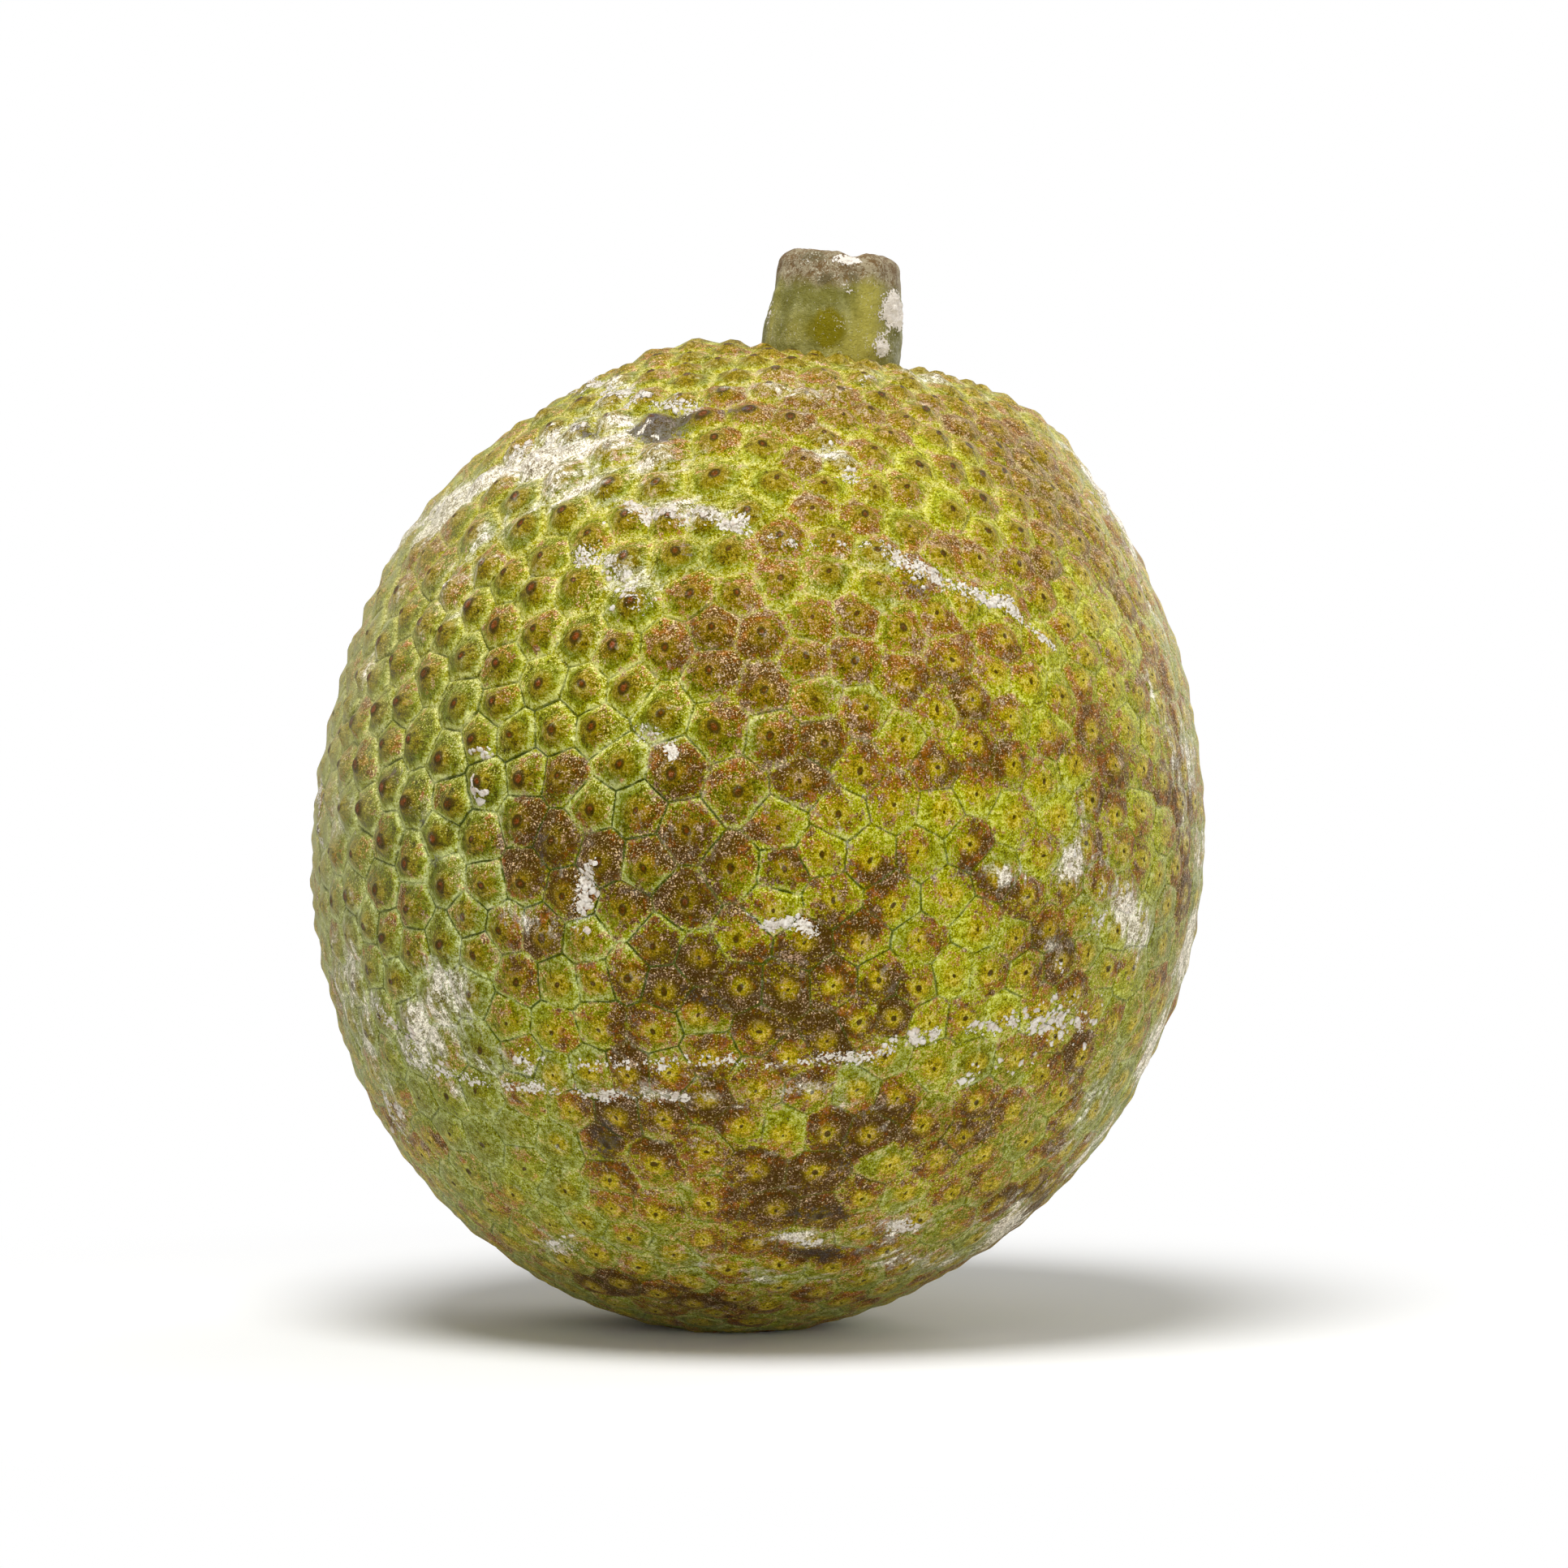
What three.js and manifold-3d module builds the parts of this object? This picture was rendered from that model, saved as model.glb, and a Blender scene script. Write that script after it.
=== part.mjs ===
// A breadfruit: one whole fruit, grown as a single body, on a short length of its cut stem.
// It rests on a small flat spot under its blossom end, with the stem end up and leaning to +X.
// Millimetres, +Z up, front at -Y. The origin is on the surface it rests on, below its middle.
import * as THREE from "three";
import { mergeVertices } from "three/addons/utils/BufferGeometryUtils.js";
import Module from "manifold-3d";

const wasm = await Module();
wasm.setup();

// The fruit's body: an egg-shaped solid about an axis through both ends, leaning to the right.
const FRUIT_WIDTH = 160.6;
const FRUIT_DEPTH = 157;
const STEM_END_REACH = 90.4;
const BLOSSOM_END_REACH = 89.6;
const FRUIT_LEAN = THREE.MathUtils.degToRad(11.5);
const REST_SPOT_DEPTH = 1.1;

// Gentle lobes and hollows: heading from +X towards +Y and height above the middle, in degrees,
// then the rise in millimetres and the spread in degrees.
const LOBES = [
  [0, 56, 3.0, 11],
  [0, 12, -0.8, 12],
  [180, 81, 1.7, 10],
  [180, 63, -0.6, 7],
  [180, 44, 2.1, 15],
  [215, 62, 1.6, 13],
  [265, 20, 1.5, 26],
  [300, -28, -1.0, 22],
  [140, 15, 1.2, 24],
  [75, 35, -1.4, 22],
  [0, -66, -1.0, 13],
  [45, -25, 1.0, 26],
  [110, -40, -0.9, 24],
];
// The hollow that the stem stands in, seen from the fruit's middle.
const STEM_HEADING = 12;
const STEM_HEIGHT = 81.2;
const HOLLOW_DEPTH = 4;
const HOLLOW_SPREAD = 10;

// The stem: a stout green stalk, wider where it joins the fruit and rounded at its dry cut end.
const STEM_CUT_RADIUS = 11;
const STEM_FOOT_RADIUS = 12.9;
const STEM_FOOT_DEPTH = 9;
const STEM_STANDING_LENGTH = 20.8;
const STEM_LEAN = THREE.MathUtils.degToRad(6);
const STEM_FOOT_ROUNDING = 2;
const STEM_CUT_ROUNDING = 3.2;
const STEM_CUT_DISH = 1.0;
const SOCKET_GAP = 0.3;

const FRUIT_FACETS = 15;
const STEM_SIDES = 32;

const SKIN = new THREE.MeshStandardMaterial({ color: "#8f8a3c", roughness: 0.55, metalness: 0 });
const STALK = new THREE.MeshStandardMaterial({ color: "#857b45", roughness: 0.75, metalness: 0 });

function direction(headingDegrees, heightDegrees) {
  const heading = THREE.MathUtils.degToRad(headingDegrees);
  const height = THREE.MathUtils.degToRad(heightDegrees);
  const across = Math.cos(height);
  return new THREE.Vector3(across * Math.cos(heading), across * Math.sin(heading), Math.sin(height));
}

const leanAxis = new THREE.Vector3(0, 1, 0);
const towardsStem = direction(STEM_HEADING, STEM_HEIGHT);

function rise(towards, centre, height, spreadDegrees) {
  const apart = THREE.MathUtils.radToDeg(towards.angleTo(centre));
  return height * Math.exp(-((apart / spreadDegrees) ** 2));
}

// Distance from the fruit's middle to its skin along a unit direction.
function skinRadius(towards) {
  const upright = towards.clone().applyAxisAngle(leanAxis, -FRUIT_LEAN);
  const reach = upright.z > 0 ? STEM_END_REACH : BLOSSOM_END_REACH;
  const inverse = Math.hypot(
    upright.x / (FRUIT_WIDTH / 2),
    upright.y / (FRUIT_DEPTH / 2),
    upright.z / reach,
  );
  let radius = 1 / inverse;
  for (const [heading, height, lift, spread] of LOBES) {
    radius += rise(towards, direction(heading, height), lift, spread);
  }
  return radius + rise(towards, towardsStem, -HOLLOW_DEPTH, HOLLOW_SPREAD);
}

function welded(geometry) {
  geometry.deleteAttribute("normal");
  geometry.deleteAttribute("uv");
  return mergeVertices(geometry);
}

function toSolid(geometry) {
  return new wasm.Manifold(new wasm.Mesh({
    numProp: 3,
    vertProperties: new Float32Array(geometry.attributes.position.array),
    triVerts: new Uint32Array(geometry.index.array),
  }));
}

function toGeometry(solid) {
  const mesh = solid.getMesh();
  const geometry = new THREE.BufferGeometry();
  geometry.setAttribute("position", new THREE.BufferAttribute(mesh.vertProperties, 3));
  geometry.setIndex(new THREE.BufferAttribute(mesh.triVerts, 1));
  geometry.computeVertexNormals();
  return geometry;
}

// The fruit about its own middle, before it is set down.
function fruitBody() {
  const geometry = welded(new THREE.IcosahedronGeometry(1, FRUIT_FACETS));
  const positions = geometry.attributes.position;
  const point = new THREE.Vector3();
  for (let i = 0; i < positions.count; i += 1) {
    point.fromBufferAttribute(positions, i).normalize();
    point.multiplyScalar(skinRadius(point));
    positions.setXYZ(i, point.x, point.y, point.z);
  }
  geometry.computeBoundingBox();
  return geometry;
}

// A round stalk along +Z, its foot on z = 0. The gap makes it larger all round, for its socket.
function stalk(gap) {
  const top = STEM_FOOT_DEPTH + STEM_STANDING_LENGTH + gap;
  const cut = STEM_CUT_RADIUS + gap;
  const foot = STEM_FOOT_RADIUS + gap;
  const profile = [
    new THREE.Vector2(0, -gap),
    new THREE.Vector2(foot - STEM_FOOT_ROUNDING, -gap),
    new THREE.Vector2(foot, STEM_FOOT_ROUNDING - gap),
    new THREE.Vector2(foot, STEM_FOOT_DEPTH),
    new THREE.Vector2((foot + cut) / 2, STEM_FOOT_DEPTH + STEM_STANDING_LENGTH * 0.42),
  ];
  for (const turn of [0, 30, 60, 90]) {
    const angle = THREE.MathUtils.degToRad(turn);
    const across = cut - STEM_CUT_ROUNDING * (1 - Math.cos(angle));
    profile.push(new THREE.Vector2(across, top - STEM_CUT_ROUNDING * (1 - Math.sin(angle))));
  }
  profile.push(new THREE.Vector2(cut / 2, top - STEM_CUT_DISH * 0.8));
  profile.push(new THREE.Vector2(0, top - STEM_CUT_DISH));
  const geometry = new THREE.LatheGeometry(profile, STEM_SIDES);
  geometry.rotateX(Math.PI / 2);
  geometry.rotateY(STEM_LEAN);
  return welded(geometry);
}

const body = fruitBody();
const middleHeight = -body.boundingBox.min.z - REST_SPOT_DEPTH;
body.translate(0, 0, middleHeight);

// The stem's foot stands in the hollow at the stem end.
const stemFoot = towardsStem.clone().multiplyScalar(skinRadius(towardsStem) - STEM_FOOT_DEPTH);
stemFoot.z += middleHeight;
const stemGeometry = stalk(0).translate(stemFoot.x, stemFoot.y, stemFoot.z);
const socketGeometry = stalk(SOCKET_GAP).translate(stemFoot.x, stemFoot.y, stemFoot.z);

// Below z = 0 the fruit is cut off flat: the spot it rests on.
const SLAB = 400;
const belowSurface = welded(new THREE.BoxGeometry(SLAB, SLAB, SLAB)).translate(0, 0, -SLAB / 2);
const fruitSolid = toSolid(body).subtract(toSolid(belowSurface)).subtract(toSolid(socketGeometry));
const fruitGeometry = toGeometry(fruitSolid);
stemGeometry.computeVertexNormals();

const breadfruit = new THREE.Group();

const fruit = new THREE.Mesh(fruitGeometry, SKIN);
fruit.name = "fruit";
breadfruit.add(fruit);

const stem = new THREE.Mesh(stemGeometry, STALK);
stem.name = "stem";
breadfruit.add(stem);

// The whole part is centred over the origin.
const extent = new THREE.Box3().setFromObject(breadfruit);
const middle = extent.getCenter(new THREE.Vector3());
breadfruit.position.set(-middle.x, -middle.y, 0);

export default breadfruit;
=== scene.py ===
import math

import bmesh
import bpy
import numpy as np
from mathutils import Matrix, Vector
from mathutils import noise
from mathutils.bvhtree import BVHTree


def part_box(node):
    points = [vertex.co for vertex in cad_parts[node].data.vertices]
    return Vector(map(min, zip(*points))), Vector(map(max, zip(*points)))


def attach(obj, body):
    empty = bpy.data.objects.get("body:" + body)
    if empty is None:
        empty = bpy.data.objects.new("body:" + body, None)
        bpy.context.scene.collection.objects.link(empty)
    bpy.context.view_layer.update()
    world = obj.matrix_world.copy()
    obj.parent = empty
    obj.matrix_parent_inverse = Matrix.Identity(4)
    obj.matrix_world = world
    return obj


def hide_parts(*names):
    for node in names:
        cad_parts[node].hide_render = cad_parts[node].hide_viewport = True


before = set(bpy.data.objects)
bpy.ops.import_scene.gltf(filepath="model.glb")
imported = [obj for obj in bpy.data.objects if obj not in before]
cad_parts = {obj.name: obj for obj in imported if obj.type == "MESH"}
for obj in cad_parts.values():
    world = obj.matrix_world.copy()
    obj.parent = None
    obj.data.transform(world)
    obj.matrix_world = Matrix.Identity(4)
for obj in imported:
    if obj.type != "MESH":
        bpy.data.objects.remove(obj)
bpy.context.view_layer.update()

fruit_low, fruit_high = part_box("fruit")


# ---------------------------------------------------------------- the camera
# A long lens a little over a metre in front, just above the middle of the fruit, so that the
# front rim of the stem end hides the foot of the stem.
CAMERA_DISTANCE = 1.25
CAMERA_RISE = math.radians(2.0)
PICTURE_WIDTH = 0.2836
AIM = Vector((0.0046, 0.0, 0.0982))
SENSOR_WIDTH = 36.0


def put_in_scene(name, data):
    """A new object that holds that mesh, lamp or camera."""
    made = bpy.data.objects.new(name, data)
    bpy.context.collection.objects.link(made)
    return made


camera_data = bpy.data.cameras.new("camera")
camera_data.sensor_width = SENSOR_WIDTH
camera_data.lens = SENSOR_WIDTH * CAMERA_DISTANCE / PICTURE_WIDTH
camera = put_in_scene("camera", camera_data)
backwards = Vector((0.0, -math.cos(CAMERA_RISE), math.sin(CAMERA_RISE)))
camera.location = AIM + backwards * CAMERA_DISTANCE
camera.rotation_euler = backwards.to_track_quat("Z", "Y").to_euler()
bpy.context.scene.camera = camera
bpy.context.scene.view_settings.view_transform = "Standard"


# ---------------------------------------------------------------- floor, backdrop and light
# A plain pale floor that runs out into a white backdrop, under one wide soft lamp overhead,
# with a weaker one low in front and one behind on the right.
FLOOR_SIZE = 6.0
SHADOW_RADIUS = 0.11
FADE_RADIUS = 0.22
ROOM_LIGHT = 0.27
FLOOR_COLOUR = (0.95, 0.95, 0.95, 1.0)
WHITE = (1.0, 1.0, 1.0, 1.0)
# name, place, size, power
LAMPS = [
    ("overhead_lamp", (-0.12, -0.35, 0.95), 0.50, 8.2),
    ("front_lamp", (0.35, -1.25, 0.12), 0.90, 6.8),
    ("back_lamp", (0.70, 0.75, 0.45), 0.80, 5.0),
]


def add_node(tree, kind, settings=None, output=0, **inputs):
    """Adds a node and gives one of its outputs. Inputs go by name, or by number as i0, i1, i2."""
    made = tree.nodes.new(kind)
    for name, value in (settings or {}).items():
        setattr(made, name, value)
    for name, value in inputs.items():
        socket = made.inputs[int(name[1:]) if name[1:].isdigit() else name]
        if isinstance(value, Field):
            tree.links.new(value.socket, socket)
        else:
            socket.default_value = value
    return Field(made.outputs[output]) if made.outputs else None


class Field:
    """A number, place or colour that changes over a surface. Each sum on it adds a node."""

    def __init__(self, socket):
        self.socket = socket
        self.tree = socket.id_data

    def sum(self, operation, other):
        return add_node(self.tree, "ShaderNodeMath", {"operation": operation}, i0=self, i1=other)

    def __add__(self, other):
        return self.sum("ADD", other)

    def __sub__(self, other):
        return self.sum("SUBTRACT", other)

    def __mul__(self, other):
        return self.sum("MULTIPLY", other)

    def __truediv__(self, other):
        return self.sum("DIVIDE", other)

    def __rsub__(self, other):
        return self * -1.0 + other

    __radd__ = __add__
    __rmul__ = __mul__

    def ease(self, start, end, low=0.0, high=1.0):
        """Runs smoothly from low to high as the number goes from start to end."""
        settings = {"interpolation_type": "SMOOTHSTEP"}
        limits = {"i1": start, "i2": end, "i3": low, "i4": high}
        return add_node(self.tree, "ShaderNodeMapRange", settings, i0=self, **limits)

    def stretched(self, by):
        """A place moved away from the middle by a share of its own along each axis."""
        return add_node(self.tree, "ShaderNodeVectorMath", {"operation": "MULTIPLY"}, i0=self, i1=by)


def place_in(tree):
    """Places on the object that wears the material, in metres."""
    return add_node(tree, "ShaderNodeTexCoord", output="Object")


def seen_in(tree):
    """1 where the camera looks, straight or by way of a gloss or glass, and 0 for lighting."""
    seen = add_node(tree, "ShaderNodeLightPath", output="Is Camera Ray")
    for ray in ("Is Glossy Ray", "Is Transmission Ray"):
        seen = seen.sum("MAXIMUM", add_node(tree, "ShaderNodeLightPath", output=ray))
    return seen


half = FLOOR_SIZE / 2
floor_corners = [(-half, -half, 0), (half, -half, 0), (half, half, 0), (-half, half, 0)]
floor_mesh = bpy.data.meshes.new("floor")
floor_mesh.from_pydata(floor_corners, [], [(0, 1, 2, 3)])
floor = put_in_scene("floor", floor_mesh)
floor_material = bpy.data.materials.new("pale_floor")
floor_material.use_nodes = True
floor_mesh.materials.append(floor_material)
tree = floor_material.node_tree
tree.nodes.clear()
reach = add_node(tree, "ShaderNodeVectorMath", {"operation": "LENGTH"}, "Value", i0=place_in(tree))
faded = reach.ease(SHADOW_RADIUS, FADE_RADIUS) * seen_in(tree)
matt = add_node(tree, "ShaderNodeBsdfDiffuse", Color=FLOOR_COLOUR)
glow = add_node(tree, "ShaderNodeEmission", Color=WHITE, Strength=1.0)
surface = add_node(tree, "ShaderNodeMixShader", i0=faded, i1=matt, i2=glow)
add_node(tree, "ShaderNodeOutputMaterial", Surface=surface)

world = bpy.data.worlds.new("studio")
world.use_nodes = True
bpy.context.scene.world = world
tree = world.node_tree
tree.nodes.clear()
strength = seen_in(tree).ease(0.0, 1.0, ROOM_LIGHT, 1.0)
room = add_node(tree, "ShaderNodeBackground", Color=WHITE, Strength=strength)
add_node(tree, "ShaderNodeOutputWorld", Surface=room)

for name, at, size, power in LAMPS:
    lamp_data = bpy.data.lights.new(name, "AREA")
    lamp_data.shape = "DISK"
    lamp_data.size = size
    lamp_data.energy = power
    lamp = put_in_scene(name, lamp_data)
    lamp.location = at
    lamp.rotation_euler = (Vector(at) - AIM).to_track_quat("Z", "Y").to_euler()


# ---------------------------------------------------------------- the fruit's rind
# The rind is the outside of over a thousand fused florets. Each is a many-sided segment, a low
# dome or nearly flat, with a groove round it and the dark scar of its stigma in the middle.
# It grew as one skin, so it is one closed mesh. Lengths in this section are in millimetres.
MM = 0.001
FRUIT_WIDTH = 160.6
FRUIT_DEPTH = 157.0
STEM_END_REACH = 90.4
BLOSSOM_END_REACH = 89.6
FRUIT_LEAN = math.radians(11.5)
MEAN_RADIUS = 84.0
# heading from +X towards +Y and height above the middle in degrees, rise, spread in degrees
LOBES = [
    (0, 56, 3.0, 11),
    (0, 12, -0.8, 12),
    (180, 81, 1.7, 10),
    (180, 63, -0.6, 7),
    (180, 44, 2.1, 15),
    (215, 62, 1.6, 13),
    (265, 20, 1.5, 26),
    (300, -28, -1.0, 22),
    (140, 15, 1.2, 24),
    (75, 35, -1.4, 22),
    (0, -66, -1.0, 13),
    (45, -25, 1.0, 26),
    (110, -40, -0.9, 24),
]
STEM_HEADING = 12
STEM_HEIGHT = 81.2
HOLLOW_DEPTH = 4.0
HOLLOW_SPREAD = 10
REST_SPOT_DEPTH = 1.1


def direction(heading, height):
    """Unit direction from the fruit's middle, from two angles in degrees."""
    heading = math.radians(heading)
    height = math.radians(height)
    across = math.cos(height)
    return np.array((across * math.cos(heading), across * math.sin(heading), math.sin(height)))


def unit(vectors):
    return vectors / np.linalg.norm(vectors, axis=-1, keepdims=True)


def mounds(vectors, start, places):
    """A start value, and a mound added at each place: its centre, spread in degrees and height."""
    total = start
    for centre, spread, height in places:
        apart = np.degrees(np.arccos(np.clip(vectors @ centre, -1.0, 1.0)))
        total = total + height * np.exp(-((apart / spread) ** 2))
    return total


towards_stem = direction(STEM_HEADING, STEM_HEIGHT)
lobe_places = [(direction(heading, height), spread, rise) for heading, height, rise, spread in LOBES]
lobe_places.append((towards_stem, HOLLOW_SPREAD, -HOLLOW_DEPTH))


def skin_radius(vectors):
    """The fruit's mean surface: millimetres from its middle along each unit vector."""
    across = vectors[:, 0] * math.cos(FRUIT_LEAN) - vectors[:, 2] * math.sin(FRUIT_LEAN)
    along = vectors[:, 0] * math.sin(FRUIT_LEAN) + vectors[:, 2] * math.cos(FRUIT_LEAN)
    reach = np.where(along > 0, STEM_END_REACH, BLOSSOM_END_REACH)
    level = (across / (FRUIT_WIDTH / 2)) ** 2 + (vectors[:, 1] / (FRUIT_DEPTH / 2)) ** 2
    return mounds(vectors, 1.0 / np.sqrt(level + (along / reach) ** 2), lobe_places)


# Segment centres: strewn at random, no two too close, then evened out. They are smaller and
# closer together round the stem and a little so at the blossom end.
SEED = 52
DIRECTIONS_TRIED = 60000
SEGMENT_SPACING = 7.1
LEAST_ROOM = 0.86
MOST_ROOM = 1.14
EVENING_ROUNDS = 2
# centre, spread in degrees, how much larger
SIZE_PLACES = [
    (towards_stem, 32, -0.36),
    (-towards_stem, 38, -0.10),
    (direction(320, 35), 34, -0.12),
    (direction(262, -2), 40, 0.10),
]

# Both sources of chance start from the seed, so that every run makes the same fruit.
draw = np.random.default_rng(SEED)
noise.seed_set(SEED)
everywhere = unit(draw.normal(size=(DIRECTIONS_TRIED, 3)))
mean_skin = everywhere * skin_radius(everywhere)[:, None]
mean_middle = (mean_skin.min(axis=0) + mean_skin.max(axis=0)) / 2
fruit_middle = np.array((
    (fruit_low.x + fruit_high.x) * 500.0 - mean_middle[0],
    (fruit_low.y + fruit_high.y) * 500.0 - mean_middle[1],
    -mean_skin[:, 2].min() - REST_SPOT_DEPTH,
))
room_needed = mounds(everywhere, 1.0, SIZE_PLACES) * SEGMENT_SPACING / MEAN_RADIUS
room_needed = room_needed * draw.uniform(LEAST_ROOM, MOST_ROOM, DIRECTIONS_TRIED)
centres = np.zeros((0, 3))
for candidate, room in zip(everywhere, room_needed):
    if len(centres) == 0 or (centres @ candidate).max() < math.cos(room):
        centres = np.vstack((centres, candidate))


def neighbour_triangles(points):
    """The triangles that join neighbouring points on the ball: its convex hull."""
    hull = bmesh.new()
    for point in points:
        hull.verts.new(point)
    hull.verts.index_update()
    bmesh.ops.convex_hull(hull, input=hull.verts)
    triangles = [[v.index for v in face.verts] for face in hull.faces if len(face.verts) == 3]
    hull.free()
    return np.array(triangles)


def corners_of(points, triangles):
    """The corner shared by three segments, for each triangle of neighbours."""
    a, b, c = (points[triangles[:, k]] for k in range(3))
    normal = unit(np.cross(b - a, c - a))
    return normal * np.sign((normal * a).sum(axis=1))[:, None]


for _ in range(EVENING_ROUNDS):
    triangles = neighbour_triangles(centres)
    corners = corners_of(centres, triangles)
    total = np.zeros_like(centres)
    for k in range(3):
        np.add.at(total, triangles[:, k], corners)
    centres = unit(total)
triangles = neighbour_triangles(centres)
corners = corners_of(centres, triangles)
corners_round = [[] for _ in centres]
for index, triangle in enumerate(triangles):
    for k in triangle:
        corners_round[k].append(index)


def frame_at(centre):
    """Two directions that lie flat on the skin at a centre: sideways and up towards the stem."""
    sideways = np.cross(towards_stem, centre)
    sideways = sideways / np.linalg.norm(sideways)
    return sideways, np.cross(centre, sideways)


# The grooves: each side between two corners is divided once, and both segments share it.
SIDE_STEP = 1.65
MOST_STEPS = 4
GROOVE_WANDER = 0.30
GROOVE_WAVES = 40.0
skin_directions = [tuple(corner) for corner in corners]
side_vertices = {}


def groove_between(first, last):
    """Vertices along the groove from one corner to another, both ends included."""
    key = (min(first, last), max(first, last))
    if key not in side_vertices:
        start, end = corners[key[0]], corners[key[1]]
        length = np.linalg.norm(end - start) * MEAN_RADIUS
        steps = max(1, min(MOST_STEPS, round(length / SIDE_STEP)))
        line = [key[0]]
        for step in range(1, steps):
            point = start + (end - start) * step / steps
            wander = np.array(noise.noise_vector(Vector(point * GROOVE_WAVES)))
            skin_directions.append(tuple(unit(point + wander * GROOVE_WANDER / MEAN_RADIUS)))
            line.append(len(skin_directions) - 1)
        line.append(key[1])
        side_vertices[key] = line
    line = side_vertices[key]
    return line if first == key[0] else line[::-1]


outlines = []
for index, centre in enumerate(centres):
    sideways, upwards = frame_at(centre)
    offsets = corners[corners_round[index]] - centre
    turn = np.arctan2(offsets @ upwards, offsets @ sideways)
    ordered = [corners_round[index][k] for k in np.argsort(turn)]
    outline = []
    for k, corner in enumerate(ordered):
        outline += groove_between(corner, ordered[(k + 1) % len(ordered)])[:-1]
    outlines.append(outline)
groove_count = len(skin_directions)


def from_front(across, up):
    """Direction from the fruit's middle to the skin that the camera sees at that place, in mm."""
    eye = np.array(camera.location) / MM - fruit_middle
    sight = np.array((across, 0.0, up)) - fruit_middle - eye
    outside, inside = 0.8, 1.0
    for _ in range(20):
        share = (outside + inside) / 2
        at = eye + sight * share
        if np.linalg.norm(at) > skin_radius(unit(at)[None, :])[0]:
            outside = share
        else:
            inside = share
    return unit(eye + sight * inside)


# How far each segment stands out, from 0, flat, to 1, a strong dome: strong on the shaded upper
# left, fading to faint grooves on the right, below and along the left edge, and middling round
# the back. Its scar is a slit or a round pit, a little below the middle of a strong dome.
# centre, spread in degrees, added height
RELIEF_PLACES = [
    (from_front(-45, 120), 34, 0.75),
    (from_front(-72, 95), 26, 0.45),
    (from_front(-10, 165), 20, 0.45),
    (from_front(0, 120), 16, 0.30),
    (from_front(-15, 88), 15, 0.25),
    (direction(160, 30), 45, 0.40),
    (direction(70, 45), 30, 0.35),
    (towards_stem, 16, 0.45),
    (from_front(40, 155), 20, 0.34),
    (direction(181, 10), 27, -0.36),
    (direction(180, 48), 17, -0.36),
]
FLATTEST = 0.15
DOME_HEIGHT = 2.4
POINTED_PART = 0.20
POINT_REACH = 0.55
SUNK_SHARE = 0.38
TIP_DROOP = 0.12
TIP_WANDER = 0.08
GROOVE_DEPTH = 0.34
GROOVE_WIDTH = 0.45
RING_SHARES = (0.66, 0.42)
LARGEST_SCAR_SHARE = 0.3
SCAR_RIM_HEIGHT = 0.10
SCAR_PIT_DEPTH = 0.45


def relief_at(vectors):
    return np.clip(mounds(vectors, FLATTEST, RELIEF_PLACES), 0.0, 1.0)


count = len(centres)
relief_of_segment = relief_at(centres) * draw.uniform(0.75, 1.2, count)
flatness_of_segment = 1.0 - relief_of_segment
tone_of_segment = draw.uniform(0.0, 1.0, count)
scar_of_segment = draw.uniform(0.0, 1.0, count)
scar_offset = draw.normal(0.0, TIP_WANDER, (count, 2))
scar_offset[:, 1] -= TIP_DROOP * relief_of_segment
slit_turn = draw.normal(math.pi / 2, 0.6, count)
slit_squeeze = draw.uniform(1.0, 2.4, count) * flatness_of_segment + 1.3 * relief_of_segment
lean_turn = math.pi / 2 + draw.normal(0.0, 0.5 + 1.6 * flatness_of_segment)

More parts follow.
